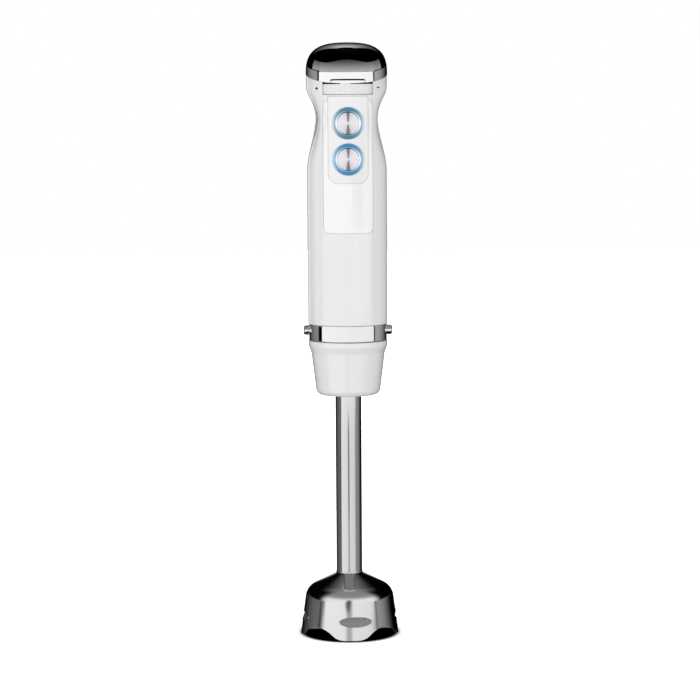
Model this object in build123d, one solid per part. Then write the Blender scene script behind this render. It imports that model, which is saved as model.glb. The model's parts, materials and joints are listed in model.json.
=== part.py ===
from build123d import *
import math
import os

# Immersion blender. Millimetres, +Z up, origin on the floor under the axis of the arm.
# The front, with the buttons and the speed wheel, faces -Y.

# Heights of the outer pieces, from the rim of the bell up
BELL_H = 42.9
TUBE_SHOWN = 120.7
COUPLER_H = 37.0
RING_H = 11.6
GRIP_ABOVE_MOTOR = 10.6
GRIP_LOW_H = 35.8
GRIP_HIGH_H = 17.8
HEAD_H = 11.6
CAP_H = 20.7

# Clearances
RUN = 0.05          # shaft in its bush or bearing
SEAT = 0.1          # fixed piece in its seat
SLIDE = 0.3         # moving piece beside a fixed one
GAP = 0.15          # joint line between outer pieces
SINK = 0.6          # depth by which a rib or boss roots in its wall
STEP_GAP = 2.0      # free height between two turning pieces
CUT = 1.0           # reach of a cutter past the face that it opens
FAR = 60.0          # reach of a cutter through the whole body

# Bell guard
BELL_RIM_R = 33.3
BELL_SHOULDER_R = 29.2
BELL_CONE_H = 10.6
BELL_NECK_H = 1.2
BELL_NECK_ROUND = 1.0
BELL_CORNER = 11.0
BELL_WALL = 1.2
BELL_SPIGOT_L = 10.0
BELL_BOSS_R = 9.0
BELL_BOSS_L = 13.5
LOBES = 4
LAND_W = 6.1
ARCH_H = 7.7
ARCH_SHOULDER_R = 12.0
VENT_W = 22.0
VENT_H = 6.6
VENT_Z = 12.3
VENT_TURN = 5.5

# Arm
TUBE_R = 8.8
TUBE_WALL = 0.8
TUBE_SEAT_L = 17.0
COUPLER_FOOT_IN = 3.6
COUPLER_SIDE_IN = 1.7
COUPLER_RIM_IN = 0.2
COUPLER_STEP_H = 4.6
COUPLER_RIM_H = 3.4
COUPLER_WALL = 2.5
COUPLER_FOOT_ROUND = 4.5
COUPLER_SIDE_ROUND = 6.0
COUPLER_RIM_ROUND = 2.5
COUPLER_EDGE_ROUND = 0.3
SPIGOT_IN = 5.2
SPIGOT_L = 21.5
SPIGOT_WALL = 2.4
GROOVE_DEPTH = 1.5
GROOVE_H = 2.6
KEY_W = 4.0
KEY_H = 1.2
KEY_L = 9.5

# Blade spindle
SHAFT_R = 3.0
BUSH_R = 6.0
BUSH_L = 16.0
SEAL_H = 4.0
UPPER_BUSH_L = 12.0
BUSH_FLANGE_H = 1.5
COLLAR_R = 4.5
COLLAR_H = 9.7
BLADE_HUB_R = 5.5
BLADE_T = 2.5
WING_L = 17.0
WING_ROOT = 9.0
WING_TIP = 6.0
WING_T = 1.2
WING_PITCH = 12.0
NUT_R = 4.6
NUT_H = 3.2
DOG_R = 9.0
DOG_H = 13.5
DOG_POCKET = 8.5
DOG_FLATS = 11.0
DOG_HUB_R = 8.0

# Chrome ring, socket, latch and release buttons
RING_RECESS = 0.5
RING_WALL = 2
RING_ROUND = 0.5
SOCKET_TOP = 3.7
SOCKET_HOLE_R = 10.5
HOOK_Z = 1.6
HOOK_H = 2.0
HOOK_DEPTH = 1.5
SOCKET_SCREWS = 4
SOCKET_SCREWS_R = 15.0
LATCH_Z = 6.9
LATCH_WIRE_R = 0.8
RELEASE_R = 3.3
RELEASE_OUT = 3.7
RELEASE_FLANGE_R = 4.3
RELEASE_FLANGE_T = 1.2
RELEASE_ROUND = 1.4

# Body shell
BODY_R = 26.8
HEAD_OUT = 0.3
WALL = 2.2
WAIST_PINCH = 6.2
REAR_DIP = 3.0
WAIST_POWER = 2.9
HEAD_FLARE = 1.7
FORM_ROUND = 2.5
SHELL_SCREW_R = 1.5
SHELL_SCREW_L = 18.0
SHELL_SCREW_HEAD_R = 2.8
SHELL_SCREW_HEAD_H = 2.2
SHELL_SCREW_CROSS_L = 3.4
SHELL_SCREW_CROSS_W = 0.9
SHELL_SCREW_Y = 8.0
SHELL_BOSS_R = 3.6
LOW_SCREW_X = 15.5
LOW_SCREW_Z = 6.0
HIGH_SCREW_Z = 8.4
AIR_SLOTS = 7
AIR_SLOT_W = 2.4
AIR_SLOT_H = 16.0
AIR_SLOT_PITCH = 10.0

# Cap
CAP_OUT = 0.3
CAP_WALL = 2.0
CAP_SLOPE = 0.235
CAP_LEAN = 3.0
CAP_BELT = 5.2
CAP_POWER = 2.9
CAP_LIP = 3.0
CAP_LIP_T = 1.6
RELIEF_W = 24.6
RELIEF_H = 0.7
RELIEF_DEPTH = 1.0
RELIEF_ROUND = 2.0

# Speed wheel and its control
WHEEL_BACK = 3.1
WHEEL_INSET = 0.2
WHEEL_WEB = 2.0
WHEEL_RIM = 2.5
WHEEL_HUB_R = 6.0
WHEEL_RIBS = 72
WHEEL_RIB_R = 0.2
WINDOW_W = 33.5
WINDOW_BELOW_HEAD = 2.2
SPINDLE_R = 3.0
POT_SIDE = 16.0
POT_H = 7.0
POT_BUSH_R = 4.6

# Front panel and button plate
PANEL_W = 33.0
PANEL_BELOW_GRIP = 40.7
PANEL_BELOW_HEAD = 6.0
PANEL_ROUND = 3.8
PANEL_PROUD = 0.25
PANEL_SINK = 1.1
PLATE_W = 26.6
PLATE_BELOW_GRIP = 7.5
PLATE_BELOW_HEAD = 3.3
PLATE_ROUND = 6.5
PLATE_TOP_ROUND = 0.6
PLATE_PROUD = 0.45

# Buttons
UPPER_BUTTON = 32.5
BUTTON_PITCH = 24.0
BUTTON_R = 7.6
BUTTON_T = 2.2
BUTTON_PROUD = 0.9
BUTTON_ROUND = 0.5
BUTTON_PRESS = 1.8
LIGHT_WALL = 2.65
LIGHT_PROUD = 0.9
LIGHT_FLOOR = 1.5
LIGHT_DEPTH = 8.3
PLUNGER_R = 3.9
PLUNGER_LIP = 0.9
PLUNGER_LIP_T = 0.6
SPRING_R = 5.8
SPRING_WIRE_R = 0.35
SPRING_TURNS = 4

# Control board and what it carries
BOARD_W = 30.0
BOARD_T = 1.6
BOARD_ABOVE_BUTTON = 5.4
SWITCH_SIDE = 6.0
SWITCH_T = 3.5
SWITCH_PIN_R = 1.7
SWITCH_PIN_L = 0.9
LED_SIDE = 2.4
LED_T = 1.2
POST_R = 2.4
POST_X = 12.6
BOARD_SCREW_R = 1.0
BOARD_SCREW_L = 6.0
BOARD_SCREW_HEAD_R = 2.1
BOARD_SCREW_HEAD_H = 1.4
CAPACITOR_R = 5.0
CAPACITOR_L = 12.0
TRIAC_W = 10.0
TRIAC_T = 4.5
SINK_W = 16.0
SINK_T = 1.5
TERMINAL_W = 12.0
TERMINAL_H = 8.0
TERMINAL_T = 9.0
TERMINAL_BORE_R = 1.6
PART_GAP = 2.0

# Motor
DAMPER_H = 2.0
DAMPER_W = 3.4
BRACKET_H = 5.0
SHAFT_HOLE = 1.5
MOTOR_SHAFT_R = 4.0
BEARING_R = 8.0
BEARING_H = 4.6
RACE_W = 1.2
SHIELD_DEPTH = 0.4
FAN_H = 7.0
FAN_DISC = 1.5
FAN_HUB = 3.0
FAN_BLADES = 9
FAN_BLADE_T = 1.4
STACK_H = 28.0
END_TURN_H = 7.0
YOKE_SHARE = 0.19       # wall of the yoke, of the yoke's radius
POLE_SHARE = 0.198      # height of a pole, of the yoke's radius
POLE_HALF = 58.0
COIL_HALF = 84.0
COIL_END = 4.5
AIR_GAP = 0.6
SLOTS = 12
SLOT_W_SHARE = 0.16     # of the armature's radius
SLOT_SHARE = 0.4        # depth of a slot, of the armature's radius
WINDING_ROUND = 2.0
COMM_R = 10.0
COMM_H = 9.0
COMM_SLIT_W = 0.5
COMM_SLIT_DEPTH = 1.0
BRUSH_W = 5.0
BRUSH_H = 6.0
BRUSH_L = 9.0
BRUSH_GAP = 0.15
HOLDER_WALL = 0.6
HOLDER_IN = 1.3
BLOCK_W = 11.0
MOTOR_SCREW_R = 1.5
MOTOR_SCREW_HEAD_R = 2.3
MOTOR_SCREW_HEAD_H = 2.2
AIR_WINDOW_R = 3.8

# Cord gland
GLAND_Z = 5.9
GLAND_R = 5.0
GLAND_BORE_R = 3.5
GLAND_FLANGE_R = 6.6
GLAND_FLANGE_T = 1.6
GLAND_OUT = 4.9

# Radii that follow the body
HEAD_R = BODY_R + HEAD_OUT
CAP_R = HEAD_R + CAP_OUT
WAIST_HALF = BODY_R - WAIST_PINCH
COUPLER_RIM_R = BODY_R - COUPLER_RIM_IN
COUPLER_SIDE_R = COUPLER_RIM_R - COUPLER_SIDE_IN
COUPLER_FOOT_R = COUPLER_SIDE_R - COUPLER_FOOT_IN
RING_R = BODY_R - RING_RECESS
SOCKET_R = RING_R - RING_WALL - SEAT
SPIGOT_R = SOCKET_R - SPIGOT_IN

# The arm, from the bell up
BELL_CONE_TOP = BELL_H - BELL_NECK_H
BELL_BOSS_Z = BELL_H - BELL_BOSS_L
BLADE_TOP = BELL_BOSS_Z - SLIDE - COLLAR_H
BLADE_Z = BLADE_TOP - BLADE_T
Z_COUPLER = BELL_H + TUBE_SHOWN
Z_RING = Z_COUPLER + COUPLER_H
TUBE_IN = TUBE_R - TUBE_WALL
TUBE_TOP = Z_COUPLER + TUBE_SEAT_L
DOG_LEVEL = TUBE_TOP + BUSH_FLANGE_H + CUT
DOG_TOP = DOG_LEVEL + DOG_H
DOG_FLOOR = DOG_TOP - DOG_POCKET
SPIGOT_TOP = Z_RING + SPIGOT_L

# The socket and the latch
Z_BODY = Z_RING + RING_H
LATCH_LEVEL = Z_RING + LATCH_Z
SOCKET_BASE = Z_RING + 2 * SLIDE
SOCKET_ROOF = SPIGOT_TOP + 2 * SLIDE
SOCKET_END = SOCKET_ROOF + SOCKET_TOP
SOCKET_IN = SPIGOT_R + SLIDE
HOOK_LEVEL = Z_BODY + HOOK_Z
FLANGE_X = math.sqrt(SOCKET_R**2 - RELEASE_FLANGE_R**2) - SEAT
LATCH_HALF_X = FLANGE_X - RELEASE_FLANGE_T - SEAT - LATCH_WIRE_R
LATCH_HALF_Y = SPIGOT_R - GROOVE_DEPTH + SLIDE + LATCH_WIRE_R

# The motor, from the socket up
SHELL_IN = BODY_R - WALL
MOTOR_R = SHELL_IN - SLIDE
YOKE_R = MOTOR_R - SINK
YOKE_IN = YOKE_R - YOKE_SHARE * YOKE_R
BORE_R = YOKE_IN - POLE_SHARE * YOKE_R
ARMATURE_R = BORE_R - AIR_GAP
SLOT_W = SLOT_W_SHARE * ARMATURE_R
SLOT_DEPTH = SLOT_SHARE * ARMATURE_R
MOTOR_SCREW_AT = (YOKE_R + YOKE_IN) / 2
FAN_R = YOKE_IN - SLIDE
LOW_BRACKET = SOCKET_END + DAMPER_H
FAN_LEVEL = LOW_BRACKET + BRACKET_H + STEP_GAP
STACK_LOW = FAN_LEVEL + FAN_H + STEP_GAP / 2 + END_TURN_H
STACK_HIGH = STACK_LOW + STACK_H
COMM_LEVEL = STACK_HIGH + END_TURN_H + STEP_GAP / 2
COMM_MIDDLE = COMM_LEVEL + COMM_H / 2
COMM_TOP = COMM_LEVEL + COMM_H
HOLDER_START = COMM_R + STEP_GAP
HIGH_BRACKET = COMM_TOP + STEP_GAP
HIGH_BRACKET_TOP = HIGH_BRACKET + BRACKET_H
MOTOR_TOP = HIGH_BRACKET_TOP + DAMPER_H

# The grip, the head and the cap
Z_GRIP = MOTOR_TOP + GRIP_ABOVE_MOTOR
Z_WAIST = Z_GRIP + GRIP_LOW_H
Z_HEAD = Z_WAIST + GRIP_HIGH_H
Z_CAP = Z_HEAD + HEAD_H
Z_TOP = Z_CAP + CAP_H
CAP_EDGE = Z_CAP - CAP_SLOPE * CAP_R
CAP_PLANE = Plane(origin=(0, 0, Z_CAP), x_dir=(1, 0, 0), z_dir=(0, -CAP_SLOPE, 1))
HEAD_TOP = Z_CAP + CAP_SLOPE * HEAD_R + CUT
PANEL_START = Z_GRIP - PANEL_BELOW_GRIP - FORM_ROUND

# The buttons and the board, from the front in
LIGHT_R = BUTTON_R + SLIDE + LIGHT_WALL
BUTTON_LEVELS = (Z_GRIP + UPPER_BUTTON, Z_GRIP + UPPER_BUTTON - BUTTON_PITCH)
LIGHT_BACK = -(BODY_R - LIGHT_DEPTH)
BUTTON_FRONT = -(BODY_R + BUTTON_PROUD)
BUTTON_BACK = BUTTON_FRONT + BUTTON_T
PLUNGER_END = LIGHT_BACK + LIGHT_FLOOR + SEAT + PLUNGER_LIP_T
BOARD_FRONT = PLUNGER_END + BUTTON_PRESS + 2 * SEAT + SWITCH_PIN_L + SWITCH_T
BOARD_BACK = BOARD_FRONT + BOARD_T
BOARD_BASE = MOTOR_TOP + LOW_SCREW_Z + SHELL_BOSS_R + SLIDE
BOARD_TOP = BUTTON_LEVELS[0] + BOARD_ABOVE_BUTTON
POST_LEVEL = sum(BUTTON_LEVELS) / 2

# The speed wheel and its control
WINDOW_LEVEL = Z_HEAD - WINDOW_BELOW_HEAD
WHEEL_LEVEL = WINDOW_LEVEL + SLIDE
WHEEL_TOP = CAP_EDGE - SLIDE
WHEEL_R = HEAD_R - WHEEL_BACK
WHEEL_Y = -(HEAD_R - WHEEL_INSET - WHEEL_R)
POT_TOP = BOARD_TOP + SEAT + POT_H
POT_BUSH_TOP = WHEEL_LEVEL - STEP_GAP
HIGH_SCREW_X = POT_SIDE / 2 + SHELL_BOSS_R + 3 * SLIDE

BASE = (Align.CENTER, Align.CENTER, Align.MIN)
FRONT, REAR = -1, 1
CURVE_STEPS = 12
LEVEL_STEP = 3.0


def rod(radius, low, high, x=0.0, y=0.0):
    """An upright round bar between two heights."""
    return Pos(x, y, low) * Cylinder(radius, high - low, align=BASE)


def rod_y(radius, front, back, x, z):
    """A round bar along Y between two depths."""
    return Pos(x, front, z) * Rot(-90, 0, 0) * Cylinder(radius, back - front, align=BASE)


def rod_x(radius, left, right, z):
    """A round bar along X between two places."""
    return Pos(left, 0, z) * Rot(0, 90, 0) * Cylinder(radius, right - left, align=BASE)


def tube(outer, inner, low, high):
    """An upright tube between two heights."""
    return rod(outer, low, high) - rod(inner, low - CUT, high + CUT)


def block(x, y, z):
    """A box from its limits along X, Y and Z."""
    middle = Pos(sum(x) / 2, sum(y) / 2, sum(z) / 2)
    return middle * Box(x[1] - x[0], y[1] - y[0], z[1] - z[0])


def turned(points, radii=None):
    """A solid turned about Z from a closed outline of radius and height, with rounded corners."""
    if radii is None:
        outline = Polyline(*points, close=True)
    else:
        outline = FilletPolyline(*points, radius=radii, close=True)
    return revolve(make_face(Plane.XZ * outline), Axis.Z)


def around(solid, count, start=0.0):
    """Copies of a solid evenly spaced about the axis."""
    return [Rot(0, 0, start + 360 * k / count) * solid for k in range(count)]


def wedge(half_angle, low, high):
    """A tall sector about +X, for cutting parts of a ring."""
    steps = 6
    turns = [math.radians(half_angle * (2 * k / steps - 1)) for k in range(steps + 1)]
    corners = [(0, 0)] + [(FAR * math.cos(t), FAR * math.sin(t)) for t in turns]
    return Pos(0, 0, low) * extrude(make_face(Polyline(*corners, close=True)), high - low)


def ease(t):
    """A smooth step from 0 to 1."""
    return t * t * (3 - 2 * t)


def raw_waist(z):
    """How far the body is pinched at a height: 0 on the straight body and the head, 1 at the waist."""
    if z <= Z_GRIP or z >= Z_HEAD:
        return 0.0
    if z <= Z_WAIST:
        return ease((z - Z_GRIP) / GRIP_LOW_H)
    return 1 - ((z - Z_WAIST) / GRIP_HIGH_H) ** HEAD_FLARE


def waist(z):
    """The pinch with its corner under the head rounded off."""
    return sum(raw_waist(z + FORM_ROUND * k / 2) for k in (-2, -1, 0, 1, 2)) / 5


def body_curve(z, grow, side):
    """Half of the level outline of the body, front or rear: a circle that turns squarer at the waist."""
    pinch = waist(z)
    rise = ease(min(max((z - Z_WAIST) / GRIP_HIGH_H, 0), 1))
    full = BODY_R + (HEAD_R - BODY_R) * rise
    wide = full - (full - WAIST_HALF) * pinch + grow
    deep = full + grow - (REAR_DIP * pinch if side == REAR else 0)
    power = 2 / (2 + (WAIST_POWER - 2) * pinch)
    points = [Vector(wide, 0, z)]
    for k in range(1, CURVE_STEPS):
        turn = math.pi * k / CURVE_STEPS
        across = math.copysign(abs(math.cos(turn)) ** power, math.cos(turn))
        points.append(Vector(wide * across, side * deep * math.sin(turn) ** power, z))
    points.append(Vector(-wide, 0, z))
    ends = [Vector(0, side, 0), Vector(0, -side, 0)]
    steps = [k / CURVE_STEPS for k in range(CURVE_STEPS + 1)]
    return Edge.make_spline(points, tangents=ends, parameters=steps)


def body_levels(low, high):
    """Evenly spaced heights for the sections of the body."""
    count = round((high - low) / LEVEL_STEP)
    return [low + (high - low) * k / count for k in range(count + 1)]


def half_form(grow, low, high, side):
    """The solid front or rear half of the body, grown outwards."""
    sections = []
    for z in body_levels(low, high):
        curve = body_curve(z, grow, side)
        sections.append(Face(Wire([curve, Edge.make_line(curve @ 1, curve @ 0)])))
    return loft(sections)


def half_shell(outer, inner, low, high, side):
    """The front or rear half of a skin of the body between two offsets."""
    sections = []
    for z in body_levels(low, high):
        out, back = body_curve(z, outer, side), body_curve(z, inner, side)
        ends = [Edge.make_line(out @ 1, back @ 1), Edge.make_line(back @ 0, out @ 0)]
        sections.append(Face(Wire([out, ends[0], back, ends[1]])))
    return loft(sections)


def bar(outline, side):
    """A long bar along Y, to the front or the rear, with an outline drawn in X and Z."""
    return extrude(Plane.XZ * outline, FAR, dir=(0, side, 0))


def front_bar(width, low, high, low_round, high_round, grow):
    """A bar through the front with the outline of a panel, grown all round."""
    half = width / 2 + grow
    low, high = low - grow, high + grow
    corners = [(-half, low), (half, low), (half, high), (-half, high)]
    radii = [low_round + grow, low_round + grow, high_round + grow, high_round + grow]
    return bar(make_face(FilletPolyline(*corners, radius=radii, close=True)), FRONT)


def panel_bar(grow=0.0):
    low, high = Z_GRIP - PANEL_BELOW_GRIP, Z_HEAD - PANEL_BELOW_HEAD
    return front_bar(PANEL_W, low, high, PANEL_ROUND, PANEL_ROUND, grow)


def plate_bar(grow=0.0):
    low, high = Z_GRIP - PLATE_BELOW_GRIP, Z_HEAD - PLATE_BELOW_HEAD
    return front_bar(PLATE_W, low, high, PLATE_ROUND, PLATE_TOP_ROUND, grow)


def button_holes(radius):
    return [rod_y(radius, -FAR, 0, 0, z) for z in BUTTON_LEVELS]


PANEL_BED = half_form(-PANEL_SINK, PANEL_START, HEAD_TOP, FRONT)
SHELL_SCREWS = [
    (side * x, z)
    for x, z in ((LOW_SCREW_X, MOTOR_TOP + LOW_SCREW_Z), (HIGH_SCREW_X, Z_WAIST + HIGH_SCREW_Z))
    for side in (-1, 1)
]


def shell_half(side):
    """Half of the body shell: ribs for the motor and the socket, screw bosses and posts for the board."""
    solid = half_shell(0.0, -WALL, Z_BODY, HEAD_TOP, side)
    solid = split(solid, bisect_by=CAP_PLANE, keep=Keep.BOTTOM)
    root = SHELL_IN + SINK
    ribs = tube(root, MOTOR_R - DAMPER_W - SEAT, MOTOR_TOP, MOTOR_TOP + HOOK_H)
    ribs += tube(root, SOCKET_R - HOOK_DEPTH + SEAT, HOOK_LEVEL, HOOK_LEVEL + HOOK_H)
    keep = Keep.TOP if side == FRONT else Keep.BOTTOM
    solid += split(ribs, bisect_by=Plane.XZ, keep=keep)
    form = half_form(SINK - WALL, Z_BODY, HEAD_TOP, side)
    reach = (-FAR, 0) if side == FRONT else (0, FAR)
    for x, z in SHELL_SCREWS:
        solid += rod_y(SHELL_BOSS_R, *reach, x, z) & form
    if side == FRONT:
        for x in (-POST_X, POST_X):
            solid += rod_y(POST_R, -FAR, BOARD_FRONT, x, POST_LEVEL) & form
    return solid


def wheel_room():
    """The space that the speed wheel turns in."""
    return rod(WHEEL_R + SLIDE, WINDOW_LEVEL, HEAD_TOP + CUT, y=WHEEL_Y)


def front_housing():
    """The front half: seats for the panel, the plate and the buttons, and the window of the wheel."""
    solid = shell_half(FRONT)
    for x, z in SHELL_SCREWS:
        solid -= rod_y(SHELL_SCREW_R + RUN, SHELL_SCREW_Y - SHELL_SCREW_L - CUT, CUT, x, z)
    for x in (-POST_X, POST_X):
        solid -= rod_y(BOARD_SCREW_R + RUN, BOARD_FRONT - BOARD_SCREW_L, BOARD_FRONT + CUT, x, POST_LEVEL)
    solid -= panel_bar(GAP) - PANEL_BED
    solid -= plate_bar(GAP) - PANEL_BED
    solid -= button_holes(LIGHT_R + SEAT)
    half = WINDOW_W / 2
    solid -= block((-half, half), (-FAR, -CUT), (WINDOW_LEVEL, HEAD_TOP + CUT))
    return solid - wheel_room()


def rear_housing():
    """The rear half: recessed screw holes, the hole of the cord gland and the air slots of the fan."""
    solid = shell_half(REAR)
    for x, z in SHELL_SCREWS:
        solid -= rod_y(SHELL_SCREW_R + RUN, -CUT, FAR, x, z)
        seat = SHELL_SCREW_Y - SHELL_SCREW_HEAD_H
        solid -= rod_y(SHELL_SCREW_HEAD_R + SEAT, seat, FAR, x, z)
    solid -= rod_y(GLAND_R + SEAT, 0, FAR, 0, Z_HEAD + GLAND_Z)
    slot = Pos(0, 0, FAN_LEVEL + FAN_H / 2) * bar(SlotOverall(AIR_SLOT_H, AIR_SLOT_W, rotation=90), REAR)
    for k in range(AIR_SLOTS):
        solid -= Rot(0, 0, AIR_SLOT_PITCH * (k - (AIR_SLOTS - 1) / 2)) * slot
    return solid - wheel_room()


def shell_screws():
    """Four screws from the back into the front half, each with a cross recess."""
    screws = []
    for x, z in SHELL_SCREWS:
        back = SHELL_SCREW_Y
        neck = back - SHELL_SCREW_HEAD_H
        screw = rod_y(SHELL_SCREW_HEAD_R, neck, back, x, z)
        screw += rod_y(SHELL_SCREW_R, back - SHELL_SCREW_L, neck, x, z)
        half, thin = SHELL_SCREW_CROSS_L / 2, SHELL_SCREW_CROSS_W / 2
        deep = (back - SHELL_SCREW_HEAD_H / 2, back + CUT)
        screw -= block((x - half, x + half), deep, (z - thin, z + thin))
        screw -= block((x - thin, x + thin), deep, (z - half, z + half))
        screws.append(screw)
    return Compound(screws)


def leaned(solid):
    """A solid of the cap, leaning back about the middle of its edge."""
    return Pos(0, 0, Z_CAP) * Rot(-CAP_LEAN, 0, 0) * Pos(0, 0, -Z_CAP) * solid


def cap_dome(radius, top):
    """The round-shouldered dome of the cap, leaning back, down to below its edge."""
    start = CAP_EDGE + CAP_BELT
    rise = top - start
    steps = 12
    curve = []
    for k in range(steps + 1):
        turn = math.pi / 2 * k / steps
        r = radius * math.cos(turn) ** (2 / CAP_POWER)
        curve.append((r, start + rise * math.sin(turn) ** (2 / CAP_POWER)))
    low = CAP_EDGE - CAP_LIP
    side = Polyline((0, top), (0, low), (radius, low), (radius, start))
    shoulder = Spline(*curve, tangents=((0, 1), (-1, 0)))
    return leaned(revolve(make_face(Plane.XZ * (side + shoulder)), Axis.Z))


def top_cap():
    """The chrome cap: a dome cut off at a slant, with a locating lip and a thumb relief over the wheel."""
    outer = split(cap_dome(CAP_R, Z_TOP), bisect_by=CAP_PLANE, keep=Keep.TOP)
    hollow = cap_dome(CAP_R - CAP_WALL, Z_TOP - CAP_WALL)
    solid = outer - hollow
    lip_r = HEAD_R - WALL - GAP - SEAT
    lip = tube(lip_r, lip_r - CAP_LIP_T, Z_CAP - FAR / 2, Z_CAP + FAR / 4)
    lip = split(lip, bisect_by=CAP_PLANE.offset(-CAP_LIP), keep=Keep.TOP)
    lip = split(lip, bisect_by=CAP_PLANE.offset(CAP_WALL / 2), keep=Keep.BOTTOM)
    lip -= block((-FAR, FAR), (-FAR, WHEEL_Y), (0, Z_TOP))
    collar = tube(CAP_R - CAP_WALL / 2, lip_r - CAP_LIP_T, Z_CAP - FAR / 2, Z_CAP + FAR / 4)
    collar = split(collar, bisect_by=CAP_PLANE, keep=Keep.TOP)
    collar = split(collar, bisect_by=CAP_PLANE.offset(CAP_WALL / 2), keep=Keep.BOTTOM)
    collar -= block((-FAR, FAR), (-FAR, WHEEL_Y), (0, Z_TOP))
    solid += collar + lip
    rim, low, high = CAP_R - RELIEF_DEPTH, CAP_EDGE - CAP_LIP, CAP_EDGE + RELIEF_H
    out = CAP_R + CUT
    relief = turned([(rim, low), (out, low), (out, high + out - rim), (rim, high)])
    tall = 4 * RELIEF_ROUND
    outline = bar(RectangleRounded(RELIEF_W, tall, RELIEF_ROUND), FRONT)
    return solid - leaned(relief & (Pos(0, 0, high + RELIEF_DEPTH - tall / 2) * outline))


def front_panel():
    skin = half_shell(PANEL_PROUD, GAP - PANEL_SINK, PANEL_START, HEAD_TOP, FRONT)
    return (skin & panel_bar()) - plate_bar(GAP)


def button_plate():
    skin = half_shell(PLATE_PROUD, GAP - PANEL_SINK, PANEL_START, HEAD_TOP, FRONT)
    return (skin & plate_bar()) - button_holes(LIGHT_R + SEAT)


LIGHT_FORM = half_form(LIGHT_PROUD, PANEL_START, HEAD_TOP, FRONT)


def light_ring(z):
    """A clear cup round a button: its front is the lit ring, its floor guides the plunger."""
    back = LIGHT_BACK + LIGHT_FLOOR
    cup = rod_y(LIGHT_R, -FAR, back, 0, z) & LIGHT_FORM
    cup -= rod_y(BUTTON_R + SLIDE, -FAR, LIGHT_BACK, 0, z)
    return cup - rod_y(PLUNGER_R + SLIDE, -FAR, back + CUT, 0, z)


def button_cap(z):
    """A flat metal disc with a softened edge."""
    disc = rod_y(BUTTON_R, BUTTON_FRONT, BUTTON_BACK, 0, z)
    front = disc.faces().sort_by(Axis.Y)[0]
    return fillet(front.edges(), BUTTON_ROUND)


def button_plunger(z):
    """The stem behind a button, held in by a lip behind the floor of the light ring."""
    stem = rod_y(PLUNGER_R, BUTTON_BACK, PLUNGER_END, 0, z)
    return stem + rod_y(PLUNGER_R + PLUNGER_LIP, PLUNGER_END - PLUNGER_LIP_T, PLUNGER_END, 0, z)


def button_spring(z):
    """A coil spring between the button and the floor of the light ring."""
    ends = SPRING_WIRE_R + SEAT
    length = LIGHT_BACK - BUTTON_BACK - 2 * ends
    path = Helix(length / SPRING_TURNS, length, SPRING_R)
    coil = sweep(Plane(path @ 0, z_dir=path % 0) * Circle(SPRING_WIRE_R), path, is_frenet=True)
    return Pos(0, BUTTON_BACK + ends, z) * Rot(-90, 0, 0) * coil


def control_board():
    half = BOARD_W / 2
    board = block((-half, half), (BOARD_FRONT, BOARD_BACK), (BOARD_BASE, BOARD_TOP))
    for x in (-POST_X, POST_X):
        board -= rod_y(BOARD_SCREW_R + SEAT, BOARD_FRONT - CUT, BOARD_BACK + CUT, x, POST_LEVEL)
    return board


def board_screws():
    screws = []
    head_end = BOARD_BACK + BOARD_SCREW_HEAD_H
    for x in (-POST_X, POST_X):
        shank = rod_y(BOARD_SCREW_R, BOARD_BACK - BOARD_SCREW_L, BOARD_BACK, x, POST_LEVEL)
        screws.append(shank + rod_y(BOARD_SCREW_HEAD_R, BOARD_BACK, head_end, x, POST_LEVEL))
    return Compound(screws)


def button_switches():
    switches = []
    half = SWITCH_SIDE / 2
    for z in BUTTON_LEVELS:
        front = BOARD_FRONT - SWITCH_T
        switch = block((-half, half), (front, BOARD_FRONT), (z - half, z + half))
        switches.append(switch + rod_y(SWITCH_PIN_R, front - SWITCH_PIN_L, front, 0, z))
    return Compound(switches)


def indicator_leds():
    """A pair of lamps behind each light ring."""
    half = LED_SIDE / 2
    middle = LIGHT_R - LIGHT_WALL / 2
    leds = []
    for z in BUTTON_LEVELS:
        for x in (-middle, middle):
            limits = (x - half, x + half), (BOARD_FRONT - LED_T, BOARD_FRONT), (z - half, z + half)
            leds.append(block(*limits))
    return Compound(leds)


def board_components():
    """Power parts on the back of the board: a capacitor, a triac on its heat sink and a terminal block."""
    low, high = BOARD_BASE + PART_GAP, BOARD_TOP - PART_GAP
    right = BOARD_W / 2 - PART_GAP
    drum_x, drum_z = CAPACITOR_R - right, high - CAPACITOR_R
    drum = rod_y(CAPACITOR_R, BOARD_BACK, BOARD_BACK + CAPACITOR_L, drum_x, drum_z)
    sink_y = BOARD_BACK + TRIAC_T
    triac = block((-TRIAC_W / 2, TRIAC_W / 2), (BOARD_BACK, sink_y), (low, low + TRIAC_W))
    triac += block((-SINK_W / 2, SINK_W / 2), (sink_y, sink_y + SINK_T), (low, low + SINK_W))
    depth = (BOARD_BACK, BOARD_BACK + TERMINAL_T)
    terminal = block((right - TERMINAL_W, right), depth, (high - TERMINAL_H, high))
    for share in (0.25, 0.75):
        x = right - TERMINAL_W * share
        mouth = (BOARD_BACK + TERMINAL_T / 3, BOARD_BACK + TERMINAL_T + CUT)
        terminal -= rod_y(TERMINAL_BORE_R, *mouth, x, high - TERMINAL_H / 2)
    return Compound([drum, triac, terminal])


def speed_potentiometer():
    """The speed control on the top edge of the board, with the bush that the spindle turns in."""
    half = POT_SIDE / 2
    base = BOARD_TOP + SEAT
    body = block((-half, half), (WHEEL_Y - half, WHEEL_Y + half), (base, POT_TOP))
    body += rod(POT_BUSH_R, POT_TOP, POT_BUSH_TOP, y=WHEEL_Y)
    return body - rod(SPINDLE_R + RUN, POT_TOP - POT_H / 2, POT_BUSH_TOP + CUT, y=WHEEL_Y)


def wheel_spindle():
    return rod(SPINDLE_R, POT_TOP - POT_H / 2 + SEAT, WHEEL_TOP, y=WHEEL_Y)


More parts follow.
